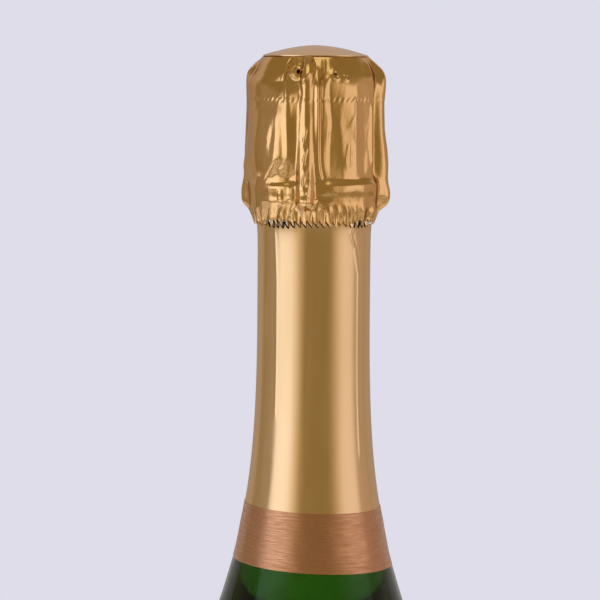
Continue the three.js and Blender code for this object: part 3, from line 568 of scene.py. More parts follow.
# Crease lines of the front, from left to right, as height, angle and radius. The foil lies nearly flat between
# them, so they are its ridges and its valleys by turns; past both ends a line dies out into the core.
CREASES = [
    [(289, -88, 18.3), (296, -87, 17.9), (303, -87, 17.5), (309, -87, 17.4), (314, -87, 17)],
    [(282, -72, 17.1), (285.5, -71.5, 17.5), (287.5, -71, 17.35), (291, -70, 17.6), (297, -68, 18),
     (303, -67, 17.8), (309, -66, 17.2), (313, -66, 16.8)],
    [(282, -61, 17.1), (285.5, -60.5, 17.5), (287.2, -60, 17.4), (290, -59, 17.7), (293, -57, 18.2),
     (297, -56, 18.4), (303, -55, 17.95), (309, -54, 17.1), (313, -54, 16.7)],
    [(281.5, -54, 17), (284, -54, 17.25), (286.2, -53.6, 17.5), (287.4, -53, 17.45), (290, -50.5, 17.9),
     (293, -46.5, 18.5), (297, -43, 18.75), (300, -41.6, 18.55), (303, -40, 18.25), (307, -39, 17.55),
     (311, -38, 16.95)],
    [(281.2, -50.5, 17.2), (282.6, -50.3, 18.05), (284, -50.2, 18.2), (286, -50, 18.45), (287, -49.8, 18.4),
     (288, -49.2, 18.3), (289.4, -47.4, 18.35), (291, -44, 18.45), (293, -40, 18.6), (297, -37.6, 18.65),
     (300, -36.8, 18.4), (303, -36, 18.25), (307, -35.4, 17.65), (311, -35, 17.05)],
    [(281.2, -45, 17.4), (282.4, -45, 18.15), (284, -45, 18.35), (285.6, -45, 18.55), (286.4, -45, 18.62),
     (287.2, -45.2, 18.5), (288, -45.6, 18.4), (289.4, -43, 18.5), (291, -39, 18.65), (293, -35.2, 18.75),
     (297, -32.9, 18.85), (300, -33.6, 18.65), (303, -34.4, 18.35), (307, -33.6, 17.8), (311, -32.6, 17.15)],
    [(281.2, -38, 17.5), (282.4, -38, 18.22), (284, -38, 18.38), (285.6, -38, 18.56), (286.4, -38, 18.62),
     (287.2, -38.4, 18.45), (288.2, -40, 18.32), (289.6, -38.6, 18.4), (291.4, -35, 18.45), (293.4, -31.4, 18.62),
     (297, -29.6, 18.72), (300, -30.4, 18.6), (303, -31.4, 18.33), (307, -31.2, 17.85), (311, -30.6, 17.2)],
    [(281.2, -33.5, 17.3), (282.4, -33.5, 18), (284, -33.5, 18.18), (285.6, -33.5, 18.35), (286.4, -33.5, 18.4),
     (287.2, -33.6, 18.2), (288.6, -34, 18.05), (290.2, -33, 18.08), (292, -30, 18.15), (294, -27.8, 18.35),
     (297, -27, 18.5), (300, -27.7, 18.4), (303, -28.5, 18.15), (307, -28.7, 17.75), (311, -28.8, 17.1)],
    [(281.2, -28.4, 17.25), (282.4, -28.3, 17.9), (284, -28.2, 18.05), (285.8, -28, 18.2), (286.6, -27.6, 18.2),
     (287.4, -26.9, 17.85), (288.4, -25.8, 17.6), (290, -24.3, 17.8), (292, -23.2, 18.2), (296, -22.4, 18.7),
     (300, -22.8, 18.68), (303, -23.6, 18.45), (307, -24.5, 18), (310, -25.2, 17.8), (312.5, -25.9, 17.4),
     (314.6, -26.6, 16.7)],
    [(281.2, -23.8, 17.2), (282.4, -23.8, 17.7), (284, -23.8, 17.85), (285.8, -23.8, 18), (286.6, -23.7, 18),
     (287.4, -23.5, 17.6), (288.4, -23.2, 17.3), (290, -22.2, 17.45), (292, -21.6, 17.8), (296, -21, 18.25),
     (300, -21.4, 18.25), (303, -22.2, 18.1), (307, -23.1, 17.7), (310, -23.5, 17.4), (312.5, -24, 16.75)],
    [(281, -16.8, 17.1), (282.4, -16.7, 17.45), (284, -16.6, 17.6), (285.8, -16.4, 17.75), (286.6, -16.4, 17.75),
     (287.5, -16.4, 17.4), (289, -16.4, 17.2), (292, -16.2, 17.4), (296, -15.8, 17.6), (303, -15.2, 17.6),
     (307.5, -14.4, 17.5), (310.5, -13.4, 17.35), (313, -14, 16.8), (315, -13.9, 16.2), (317.5, -13.4, 15.2)],
    [(280.4, -11.8, 17.3), (282, -11.8, 19.2), (285, -11.9, 19.2), (287, -12, 18.95), (288.4, -12.1, 18.85),
     (290, -12.1, 18.72), (292.8, -12.2, 18.55), (299, -12.1, 18.2), (306, -11.8, 18.1), (310.5, -11.1, 18.2),
     (313, -12.2, 18.1), (314.5, -11.6, 17.9), (316.4, -11, 17.3), (318, -10.6, 16.1), (319.2, -10.4, 14.9)],
    [(280.4, -8.2, 17.5), (282, -8.2, 19.6), (285, -8.2, 19.6), (287, -8.2, 19.35), (288.4, -8.2, 19.25),
     (290, -8.2, 19.12), (292.8, -8.2, 18.95), (299, -8.2, 18.6), (306, -8.2, 18.5), (311.5, -8, 18.6),
     (314.5, -8, 18.4), (316.4, -8, 17.75), (318, -8, 16.5), (319.2, -8, 15)],
    [(280.4, -3.8, 17.3), (282, -3.8, 19.2), (285, -3.8, 19.2), (287, -4, 18.95), (288.4, -4.1, 18.84),
     (290, -4.2, 18.7), (292.8, -4.3, 18.5), (299, -4.4, 18.15), (306, -4.4, 18.05), (311.5, -4.2, 18.2),
     (314.5, -4.1, 18.05), (316.4, -4.4, 17.4), (318, -4.8, 16.2), (319.2, -5, 14.9)],
    [(281, 0.2, 17), (284, 0.2, 17.15), (286.2, 0.1, 17.35), (287.5, 0, 17.2), (289, -0.3, 17.1),
     (291, -0.6, 17.25), (296, -1.2, 17.5), (303, -1.6, 17.55), (309, -1.8, 17.5), (313.5, -2.2, 17),
     (316, -2.8, 15.9)],
    [(286.9, 7.2, 17.3), (288, 6.4, 17.15), (289.5, 5, 17.25), (291, 4, 17.35), (294, 3.2, 17.55),
     (298, 2.9, 17.85), (303, 2.8, 18.15), (309, 2.6, 18.2), (313, 2.2, 17.7), (315.3, 1.6, 16.4)],
    [(286.9, 8.4, 17.25), (288.5, 7.4, 16.7), (290, 6.4, 16.5), (292, 5.3, 16.55), (296, 4.5, 16.75),
     (303, 4.2, 16.85), (309, 4.1, 16.85), (313.5, 4.2, 16.4)],
    [(288.2, 9.6, 16.66), (289.4, 8.6, 16.62), (290.8, 7.5, 16.7), (293, 6.4, 16.95), (298, 5.7, 17.25),
     (303, 5.7, 17.4), (307, 6.2, 17.4), (310.5, 6.8, 17.3), (313, 7, 16.95)],
    [(288.2, 11.8, 16.62), (289.4, 11.3, 16.42), (292, 10.4, 16.45), (296, 10.2, 16.75), (300, 10.6, 16.95),
     (303, 11.4, 16.95), (306, 10.4, 17), (310.5, 9.3, 17), (313.5, 10.2, 16.85), (315.2, 13.6, 16.2)],
    [(288.2, 14.2, 16.6), (289.4, 13.7, 16.3), (292, 13, 16.15), (296, 12.8, 16.3), (300, 13.2, 16.4),
     (303, 13.9, 16.45), (306, 12.9, 16.5), (310.5, 11.8, 16.5), (313.5, 12.6, 16.4), (316, 16.4, 15.65)],
    [(288.2, 25.6, 16.62), (289.4, 25.3, 16.4), (290.6, 25, 16.34), (293, 24.6, 16.45), (296, 24, 16.65),
     (299.5, 22.9, 16.7), (303, 21.6, 16.75), (306.3, 22.2, 16.75), (309, 24.2, 16.7), (312, 26.4, 16.5)],
    [(288.2, 27.3, 16.64), (289.4, 27, 16.46), (290.6, 26.7, 16.42), (293, 26.2, 16.55), (296, 25.5, 16.7),
     (299.5, 24.3, 16.75), (303, 23, 16.8), (306.3, 23.6, 16.8), (309, 25.7, 16.75), (312, 28, 16.55)],
    [(288.2, 40, 16.7), (289.4, 39.8, 16.56), (291, 39.5, 16.56), (296, 38.8, 16.75), (303, 38.3, 16.95),
     (309, 38.5, 16.85), (313, 39, 16.45)],
    [(281.3, 50, 16.95), (284, 50, 17.35), (286.2, 50, 17.6), (287.2, 50, 17.5), (288.2, 50, 16.9),
     (289.4, 49.8, 16.52), (291, 49.5, 16.42), (296, 49, 16.4), (303, 49, 16.5), (309, 49, 16.5),
     (313, 49, 16.3)],
    [(286, 60, 17.5), (288, 59.5, 17.1), (290.5, 58.8, 16.8), (296, 58.2, 16.75), (303, 58, 16.8),
     (307.5, 58, 16.75), (311, 59, 16.6)],
    [(283.5, 64, 17.4), (286, 64, 17.55), (287.5, 64, 17.35), (291, 63.5, 17), (296, 63.5, 16.95),
     (303, 63.5, 16.9), (309, 63.5, 16.85), (313, 64, 16.6)],
    [(287, 71.5, 17.2), (288.5, 71, 16.3), (291, 70.6, 15.6), (296, 70.4, 15.5), (303, 70.4, 15.6),
     (307, 70.6, 15.75), (311, 70.9, 15.95)],
    [(283.5, 75.5, 18), (287.4, 75.2, 18.12), (288.6, 75, 18.15), (289.8, 74.8, 18.2), (291, 74.6, 18.25),
     (296, 74.2, 18.3), (303, 74.2, 18.2), (307, 74.4, 18), (310, 74.8, 17.7), (313, 75.6, 17.1)],
]
CREASE_END, CREASE_ROUNDING, FACET_BOW = 2.2, 5, 0.5

# Invented crease lines of the back: how many a panel has, where a panel starts after its leg and how far it
# runs, and the ranges of their feet, tops, wandering, ridges and valleys. Lines past an angle lie at the left.
BACK_CREASES, PANEL_INSET, PANEL_SPAN, BACK_POINTS, LEFT_FROM = 9, 11, 68, 5, 200
BACK_FEET, BACK_TOPS, BACK_WANDER, BACK_RIDGES, BACK_VALLEYS = (288, 291), (309, 313), 1.2, (0.5, 1.2), (-0.05, 0.3)

# Smaller creases of the front: how far each stands out, its width to the left and to the right, and its course
# as height and angle. A crease that stands in has a minus sign.
FRONT_FOLDS = [
    (-0.55, 0.22, 0.3, [(312.8, -30.4), (317, -28), (321, -26)]),
    (0.4, 1.3, 0.7, [(312.2, -11.8), (314.6, -8.6), (316.2, -3.4), (318.6, 2.4)]),
    (0.3, 0.8, 0.5, [(313.6, -31.4), (317, -29.8), (321, -28)]),
    (-0.3, 0.2, 0.2, [(312.2, 5.2), (321, 6.8)]),
    (0.35, 0.5, 0.4, [(313.4, 7.2), (321, 8.4)]),
    (0.16, 0.5, 0.5, [(300.6, 29.5), (306, 38.5)]),
    (0.14, 0.4, 0.35, [(290.6, 28.5), (294, 28.8), (298.8, 31.5)]),
    (0.14, 0.3, 0.35, [(291, 33.8), (295, 33.6), (299, 33)]),
    (0.15, 0.45, 0.3, [(297, 38), (302, 37.8), (310, 38)]),
    (0.25, 0.35, 0.3, [(296.5, -10.4), (300, -8), (302.6, -6.6)]),
    (-0.25, 0.25, 0.25, [(295.6, -9.2), (299, -6.9), (301.6, -5.6)]),
    (0.3, 0.3, 0.35, [(291.4, -10.2), (294.4, -8.4), (297.6, -6)]),
    (-0.3, 0.25, 0.3, [(289.6, -8.6), (293, -7.2), (296.4, -4.9)]),
    (0.3, 0.3, 0.3, [(285.6, -9.9), (289, -9), (292.6, -6.2)]),
    (-0.3, 0.25, 0.3, [(285.4, -8.2), (287, -8), (291, -5.2)]),
    (0.3, 0.25, 0.3, [(280.6, -6.6), (284, -6.4), (288.6, -4.4)]),
    (-0.4, 0.25, 0.25, [(287.4, -47), (289.4, -42), (291, -38), (293.6, -32)]),
    (0.35, 1.2, 1, [(313, 62), (320, 66)]),
    (0.3, 0.35, 0.35, [(291, 61), (296, 59.7), (308.5, 58.7)]),
    (-0.25, 0.35, 0.35, [(308, -13.8), (311, -12.2), (315.5, -14.2)]),
]

# Pleats that gather the foil from the ring in to the neck: top angle, bottom angle and rise. Between two of
# them the foil dips, and they come and go over a window of heights.
FRONT_PLEATS = [
    (-62, -68, 0.5), (-50, -58, 0.6), (-38, -47, 0.75), (-26.5, -35.5, 0.85), (-17, -24, 0.7), (-7.5, -10, 0.8),
    (1.5, 1, 0.75), (11, 16.5, 0.85), (19, 25, 0.6), (28, 32.5, 0.9), (37, 41, 0.7), (46, 48.5, 0.85),
    (67, 58, 1.1),
]
PLEAT_TOP, PLEAT_BOTTOM, PLEAT_ROUNDING, PLEAT_DIP = 282.4, 275.5, 8, 0.05
PLEAT_WINDOW = (275.6, 277.0, 279.8, 282.9)
BACK_PLEATS, BACK_PLEAT_ANGLES, BACK_PLEAT_SLANT, BACK_PLEAT_RISE = 20, (80, 284), 7, (0.3, 0.8)

# Shallow waves all over the foil: rise, seed, most waves round the axis and least pitch along it.
FOIL_WAVES = [(0.06, 7, 16, 25.0), (0.026, 23, 36, 12.0)]
PERFORATION_HEIGHT, PERFORATIONS, PERFORATION_DEPTH = 308.8, 70, 0.06
PERFORATION_SLANT, PERFORATION_HALF = 0.45, 0.5

# Tear line: a row of slanted slits. It gapes at two places of the front (middle angle, half width and share)
# and in waves a little elsewhere. The foil there flares, and it is bare over the torn share of each tooth.
TEETH, TOOTH_PHASE, SLIT_HEIGHT, SLIT_GAP, TEAR_HEIGHT, TEAR_FADE = 62, 0.35, 1.8, 1.9, 276.8, 4.0
GAPES, GAPE_ELSEWHERE, GAPE_WAVES, GAPE_PHASE = [(-37, 19, 1.0), (54, 17, 0.85)], 0.3, 5, 40
BARE_SHARE, BARE_EDGE, HEM_FLARE, HEM_FLARE_REACH = (0.45, 0.65), (0.3, 0.9), 0.35, 0.7

# Vents in the shoulder of the foil, drawn as dents with painted shade for their dark inside: angle, height, radius,
# and the lip's distance and rise.
VENTS = [(-17.3, 316.0, 0.72, 1.55, 0.6), (18.8, 315.2, 0.52, 1.05, 0.4), (29.8, 314.6, 0.2, 0.55, 0.35)]
VENT_DEPTH, LIP_WIDTH, LIP_FACE = 0.9, 0.42, 200.0

# Bends of the belt wire that print through the band of the ring as fingers: angle, foot, top and half width;
# and a line where the belt itself prints: height, half height, angle, half span and rise.
WIRE_BENDS = [(-29.6, 283.0, 286.4, 0.6), (-20.2, 282.9, 286.8, 0.75)]
BEND_RISE, BEND_EDGE, BEND_FADE = 0.24, (0.5, 1.5), 1.6
BELT_PRINT = (282.35, 0.35, 7, 8.5, 0.3)

# What keeps the foil off the wires under it: how close it lies, and how far each wire spreads it.
COVER, SLACK = 0.2, 0.45
LOOP_SPAN, LOOP_BED, LOOP_LINE, LOOP_SPREAD = 25, (4.7, 6.2), 0.9, (0.12, 0.5)
STEM_SPREAD, STEM_WINDOW, BELT_SPREAD = 1.5, (281.0, 283.0, 292.5, 296.0), (0.5, 1.7)
LEG_SPREAD, LEG_FOOT = 1.55, (279.4, 281.6)


def facets(angle, core, lines):
    """Foil between neighbouring crease lines a and b: part way from the chord between them, of radius
    ra rb sin(span) / (ra sin(from a) + rb sin(to b)), to the bow whose radius changes evenly with the angle. Each
    line has its angle and its radius at every point."""
    radius = core.copy()
    for (first, reach), (second, next_reach) in zip(lines, lines[1:] + lines[:1]):
        span = np.radians((second - first) % 360)
        turn = np.radians((angle - first) % 360)
        inside = turn < span
        across = np.where(inside, reach * np.sin(turn) + next_reach * np.sin(span - turn), 1.0)
        chord = reach * next_reach * np.sin(span) / across
        bow = reach + (next_reach - reach) * turn / span
        radius = np.where(inside, chord + FACET_BOW * (bow - chord), radius)
    return radius


def rounded(radius, passes):
    """Radii averaged round the axis, pass by pass: a quarter of each neighbour and half of the point itself."""
    for _ in range(passes):
        radius = (np.roll(radius, 1, axis=1) + 2 * radius + np.roll(radius, -1, axis=1)) / 4
    return radius


def crease_line(height, core, points):
    """Angle and radius of a crease line at each height. What it stands out from the core runs smoothly through
    its points and dies out past both ends."""
    heights, angles, radii = np.array(points, float).T
    out = np.pad(radii - smooth_line(heights, CORE_LINE), 1)
    heights = np.concatenate([[heights[0] - CREASE_END], heights, [heights[-1] + CREASE_END]])
    course = smooth_line(height, np.c_[heights, np.pad(angles, 1, mode="edge")])
    return course, core + smooth_line(height, np.c_[heights, out])


def fold(angle, height, radius, rise, left, right, course):
    """A crease along its course: the rise times exp(-(d / width)^1.5), where d is the distance across it and the
    width differs on its two sides. It fades in and out along its ends."""
    heights, angles = np.array(course, float).T
    across = np.radians(turn_from(angle, np.interp(height, heights, angles))) * radius
    width = np.where(across < 0, left, right)
    ends = step_up(np.minimum(height - heights[0], heights[-1] - height), 0, FOLD_FADE)
    return rise * np.exp(-np.abs(across / width) ** 1.5) * ends


def step_up(value, start, end):
    """Smoothstep: 0 before the start, 1 after the end, and 3 t^2 - 2 t^3 between."""
    t = np.clip((value - start) / (end - start), 0, 1)
    return t**2 * (3 - 2 * t)


def window(value, start, full, fall, end):
    """Smooth window: up from the start to 1 at the full value, and from the fall down to 0 at the end."""
    return step_up(value, start, full) * (1 - step_up(value, fall, end))


def torn_open(angle):
    """How far the tear line gapes, from 0 to 1: the widest of its gaping places and of the waves elsewhere."""
    opened = GAPE_ELSEWHERE * (0.5 + 0.5 * np.cos(np.radians(GAPE_WAVES * angle + GAPE_PHASE)))
    for middle, half_width, share in GAPES:
        opened = np.maximum(opened, share * np.exp(-((turn_from(angle, middle) / half_width) ** 4)))
    return opened


def tooth_share(angle):
    """Where an angle lies on its tooth of the tear line, from 0 at the left to 1 at the right."""
    return (angle * TEETH / 360 + TOOTH_PHASE) % 1


def tear_line(angle):
    """Height of the middle of the tear line, and half its gap: slanted slits that fall to the right, one a tooth,
    each open as a half sine between the bridges that hold the foil."""
    share = tooth_share(angle)
    half_gap = torn_open(angle) * SLIT_GAP * np.sin(np.pi * share) ** 0.7 / 2
    return TEAR_HEIGHT + SLIT_HEIGHT * (0.5 - share), half_gap


share = np.arange(HOOD_COLUMNS) / HOOD_COLUMNS - 0.5
hood_angles = 360 * share - FRONT_CROWDING * 180 / np.pi * np.sin(2 * np.pi * share)
hood_levels = np.interp(np.linspace(0, 1, HOOD_ROWS), ROW_SHARES, ROW_HEIGHTS)
angle, level = np.meshgrid(hood_angles, hood_levels)
tear_middle, tear_gap = tear_line(hood_angles)
hem_shift = tear_middle + tear_gap - HEM_HEIGHT
height = level + hem_shift * np.clip(1 - (level - HEM_HEIGHT) / TEAR_FADE, 0, 1)

core = smooth_line(height, CORE_LINE)
over_leg = smooth_line(height, LEG_LINE)
rng = np.random.default_rng(FOIL_SEED)
lines = [
    (LEG_ANGLES[leg] + side, core + press * (over_leg - core))
    for leg, press in LEG_PRESS.items()
    for side in (-LEG_HALF, LEG_HALF)
]
for panel_start in (LEG_ANGLES["right"] + PANEL_INSET, LEG_ANGLES["back"] + PANEL_INSET):
    for number, middle in enumerate(np.linspace(panel_start, panel_start + PANEL_SPAN, BACK_CREASES)):
        levels = np.linspace(rng.uniform(*BACK_FEET), rng.uniform(*BACK_TOPS), BACK_POINTS)
        courses = middle + np.cumsum(rng.uniform(-BACK_WANDER, BACK_WANDER, BACK_POINTS))
        stand = rng.uniform(*(BACK_RIDGES if number % 2 else BACK_VALLEYS), BACK_POINTS)
        lines.append(crease_line(height, core, np.c_[levels, courses, smooth_line(levels, CORE_LINE) + stand]))
lines = [(np.broadcast_to(course, angle.shape), reach) for course, reach in lines]
lines.sort(key=lambda line: line[0][0, 0])
left_lines = [(course - 360, reach) for course, reach in lines if course[0, 0] > LEFT_FROM]
front_lines = [crease_line(height, core, points) for points in CREASES]
lines = left_lines + front_lines + [line for line in lines if line[0][0, 0] <= LEFT_FROM]
hood = rounded(facets(angle, core, lines), CREASE_ROUNDING)

pleats = list(FRONT_PLEATS)
for middle in np.linspace(*BACK_PLEAT_ANGLES, BACK_PLEATS):
    foot = middle + rng.uniform(-BACK_PLEAT_SLANT, BACK_PLEAT_SLANT)
    pleats.append((middle, foot, rng.uniform(*BACK_PLEAT_RISE)))
relief = np.zeros_like(hood)
for rise, left, right, course in FRONT_FOLDS:
    relief += fold(angle, height, core, rise, left, right, course)
pleat_share = (height - PLEAT_BOTTOM) / (PLEAT_TOP - PLEAT_BOTTOM)
pleats = [(bottom + (top - bottom) * pleat_share, rise) for top, bottom, rise in pleats]
gathers = []
for (course, rise), (next_course, _) in zip(pleats, pleats[1:] + [(pleats[0][0] + 360, 0)]):
    gathers += [(course, core + rise), ((course + next_course) / 2, core - PLEAT_DIP)]
relief += rounded(facets(angle, core, gathers) - core, PLEAT_ROUNDING) * window(height, *PLEAT_WINDOW)
for rise, seed, most_round, pitch in FOIL_WAVES:
    relief += rise * uneven(angle, height, seed, most_round, pitch)

above = height - PERFORATION_HEIGHT
dash = np.cos(2 * np.pi * (angle * PERFORATIONS / 360 - above * PERFORATION_SLANT))
dash_row = np.exp(-((above / PERFORATION_HALF) ** 4))
relief += PERFORATION_DEPTH * np.sign(dash) * np.abs(dash) ** 0.5 * dash_row
print_height, print_half, print_angle, print_span, print_rise = BELT_PRINT
belt_print = np.exp(-np.abs((height - print_height) / print_half) ** 1.5)
relief += print_rise * belt_print * np.exp(-((turn_from(angle, print_angle) / print_span) ** 4))
torn = torn_open(angle) * step_up(tooth_share(angle), *BARE_SHARE) * (1 - step_up(level - HEM_HEIGHT, *BARE_EDGE))
flare = HEM_FLARE * torn_open(angle) * np.exp(-(height - height[0]) / HEM_FLARE_REACH)
# Mask of painted shade: near black at each vent dent, standing for the dark inside of a vent.
vent_shade_mask = np.zeros_like(hood)
for vent_angle, vent_height, vent_radius, lip_distance, lip in VENTS:
    across, above = np.radians(turn_from(angle, vent_angle)) * core, height - vent_height
    away = np.hypot(across, above)
    face = 0.5 + 0.5 * np.cos(np.arctan2(above, across) - np.radians(LIP_FACE))
    relief += lip * face * np.exp(-(((away - lip_distance) / LIP_WIDTH) ** 2))
    relief -= VENT_DEPTH * np.exp(-((away / vent_radius) ** 4))
    vent_shade_mask = np.maximum(vent_shade_mask, np.exp(-((away / vent_radius) ** 8)))
for bend_angle, bend_foot, bend_top, bend_half in WIRE_BENDS:
    across = np.radians(turn_from(angle, bend_angle)) * core
    from_bend = np.hypot(across, np.minimum(height - bend_foot - bend_half, 0)) / bend_half
    under_top = 1 - step_up(height, bend_top - BEND_FADE, bend_top)
    relief += BEND_RISE * (1 - step_up(from_bend, *BEND_EDGE)) * under_top
hood = hood + relief * (1 - step_up(height, *SEAM_HOLD)) + flare


def press_through(reach, share):
    """Least radius of the foil over a wire: a share of the way from a little inside the core to the reach."""
    return core - SLACK + (reach - core + SLACK) * share


loop_turn = np.radians(np.clip(turn_from(angle, EYELET_ANGLE), -LOOP_SPAN, LOOP_SPAN))
from_loop = np.hypot(loop_turn * EYELET_RADIUS / LOOP_BED[0], (height - LOOP_HEIGHT) / LOOP_BED[1])
on_loop = 1 - step_up(np.abs(from_loop - LOOP_LINE), *LOOP_SPREAD)
loop_reach = (EYELET_RADIUS + WIRE_RADIUS + COVER) / np.cos(loop_turn)
belt_reach = np.interp(angle, round_angles - 180, np.roll(belt_radius, len(belt_radius) // 2)) + WIRE_RADIUS + COVER
on_belt = 1 - step_up(np.abs(height - BELT_HEIGHT), *BELT_SPREAD)
on_stem = np.exp(-((np.radians(turn_from(angle, EYELET_ANGLE)) * core / STEM_SPREAD) ** 2))
on_stem = on_stem * window(height, *STEM_WINDOW)
covers = [press_through(loop_reach, on_loop), press_through(belt_reach, on_belt)]
covers.append(press_through(EYELET_RADIUS + 2 * WIRE_RADIUS + COVER, on_stem))
leg_reach = np.interp(height, leg_line[::-1, 1], leg_line[::-1, 0]) + 2 * WIRE_RADIUS + COVER
for leg_angle in LEG_ANGLES.values():
    across = np.radians(turn_from(angle, leg_angle)) * core
    on_leg = step_up(height, *LEG_FOOT) / (1 + (across / LEG_SPREAD) ** 4)
    covers.append(press_through(leg_reach, on_leg))
hood = np.maximum.reduce([hood] + covers)

flange_share = np.array([[0.3], [1.0]])
flange = turned(hood_angles, SEAM_RADIUS - FLANGE * flange_share, SEAM_HEIGHT + FLANGE_RISE * flange_share)
lining_rows = np.unique(np.linspace(0, HOOD_ROWS - 1, LINING_ROWS).astype(int))
lining = turned(angle[lining_rows], hood[lining_rows] - FOIL_GAUGE, height[lining_rows])
lining = np.concatenate([lining, flange - FOIL_GAUGE * UP])
hood_grid = np.concatenate([turned(angle, hood, height), flange, lining[::-1]])
unseen = np.zeros((len(hood_grid) - HOOD_ROWS, HOOD_COLUMNS))
hood_marks = {"vent_shade_mask": np.concatenate([vent_shade_mask, unseen]), "torn": np.concatenate([torn, unseen])}

# Gold lacquered aluminium foil: rolled bright, so its creases mirror the lights sharply, crumpled over some
# 3.5 mm, with a lacquer that varies over 8 mm and is deeper seen edge-on, and a grain of 0.7 mm, drawn coarser
# than it is. Where it is torn the bare aluminium shows, and the vent dents are painted near black as painted
# shade for the dark inside of each vent.
gold_foil, tree = new_material("gold_lacquered_foil")
place = add_node(tree, "TexCoord").outputs["Object"]
lacquer = add_node(tree, "TexNoise", {"Vector": place, "Scale": 1 / (8 * MM), "Detail": 2.0})
grain = add_node(tree, "TexNoise", {"Vector": place, "Scale": 1 / (0.7 * MM), "Detail": 2.0})
painted_vent_shade = add_node(tree, "Attribute", attribute_name="vent_shade_mask").outputs["Fac"]
torn_edge = add_node(tree, "Attribute", attribute_name="torn").outputs["Fac"]
golds = add_node(tree, "MixRGB", [lacquer, "#e0b074", "#ecbf84"])
bare = add_node(tree, "MixRGB", [torn_edge, golds, "#f6f4f0"])
# Painted shade: the vent dents are coloured near black.
shown = add_node(tree, "MixRGB", [painted_vent_shade, bare, "#0b0805"])
gloss = add_node(tree, "MapRange", [lacquer, 0.3, 0.7, 0.14, 0.2])
rubbed = add_node(tree, "Mapping", {"Vector": place, "Scale": (1.0, 1.0, 0.4)})
crumple = add_node(tree, "TexNoise", {"Vector": rubbed, "Scale": 1 / (3.5 * MM), "Detail": 3.0})
crumpled = add_node(tree, "Bump", {"Height": crumple, "Strength": 1.0, "Distance": 0.22 * MM})
grained = add_node(tree, "Bump", {"Height": grain, "Strength": 0.06, "Distance": 0.05 * MM, "Normal": crumpled})
bright = {"Base Color": shown, "Specular Tint": "#dccdc0", "Metallic": 1.0, "Roughness": gloss, "Normal": grained}
add_node(tree, "OutputMaterial", {"Surface": add_node(tree, "BsdfPrincipled", bright)})

foil_hood = make_piece("hood_foil", gold_foil, [hood_grid], shut=True, marks=hood_marks, sharp=75.0)
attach(foil_hood, "hood")
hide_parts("foil_hood")

# Top disc of the hood
# The same foil, stamped as a shallow dome and crimped over the hood's folded edge. Its face is bare, a
# little dented from handling, and its rim stands a hair proud of the seam.
DISC_RADIUS, DISC_FOOT, DISC_RISE, DISC_POWER, DISC_LIP = 13.75, 320.0, 2.64, 1.75, 0.12
DISC_DENT, DENT_SCALE = 0.05, 20

# The same foil where it was only stamped or rolled on, and not creased: satin and a little paler, with faint
# upright drawing lines about 1.5 mm apart.
satin_foil, tree = new_material("satin_gold_foil")
place = add_node(tree, "TexCoord").outputs["Object"]
drawn = add_node(tree, "Mapping", {"Vector": place, "Scale": (1.0, 1.0, 0.03)})
streaks = add_node(tree, "TexNoise", {"Vector": drawn, "Scale": 1 / (1.5 * MM), "Detail": 2.0})
golds = add_node(tree, "MixRGB", [streaks, "#e9c190", "#eec797"])
gloss = add_node(tree, "MapRange", [streaks, 0.3, 0.7, 0.19, 0.26])
satin = {"Base Color": golds, "Specular Tint": "#ece2d8", "Metallic": 1.0, "Roughness": gloss}
add_node(tree, "OutputMaterial", {"Surface": add_node(tree, "BsdfPrincipled", satin)})

disc_share = np.linspace(0, 1, 60)[:, None]
disc_angles = np.arange(0, 360, 2.0)
dents = DISC_DENT * uneven(disc_angles, DENT_SCALE * disc_share, seed=13, most_round=5, pitch=9.0)
dents = dents * disc_share**2 * (1 - disc_share**6)
disc_height = DISC_FOOT + DISC_RISE * (1 - disc_share**DISC_POWER) + dents
disc_edge = np.full((1, 1), DISC_FOOT - DISC_LIP)
inner_radius = DISC_RADIUS - FOIL_GAUGE
disc_under = turned(disc_angles, inner_radius * disc_share, disc_height)
disc_lip = turned(disc_angles, inner_radius, disc_edge)
disc_rim = turned(disc_angles, DISC_RADIUS, disc_edge)
disc_over = turned(disc_angles, DISC_RADIUS * disc_share, disc_height + FOIL_GAUGE)
disc_grid = np.concatenate([disc_under, disc_lip, disc_rim, disc_over[::-1]])
top_disc = make_piece("hood_top_disc", satin_foil, [disc_grid])
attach(top_disc, "hood")
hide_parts("foil_top_disc")

# Neck sleeve
# The lower part of the same capsule: smooth satin gold foil rolled tight on to the neck, its upper edge
# still in the tear line and flaring a little, with two long creases where it was drawn down.
SLEEVE_BOTTOM, SLEEVE_ROWS, TOP_CROWDING, SLEEVE_GAP = 199.1, 90, 1.6, 0.4
SLEEVE_FLARE, TORN_FLARE, FLARE_REACH, SLEEVE_WAVE = 0.42, 0.2, 2.4, 0.02
SLEEVE_FOLDS = [
    (0.1, 0.5, 0.3, [(226, -40), (262, -40.5), (275.5, -43)]),
    (0.12, 0.3, 0.8, [(215, 50), (264, 50.5), (270, 45), (275.5, 36)]),
    (-0.1, 0.4, 0.4, [(225, 53.5), (264, 54), (270, 48.5), (275.5, 39.5)]),
    (0.07, 0.4, 0.4, [(245, -56), (262, -55)]),
]

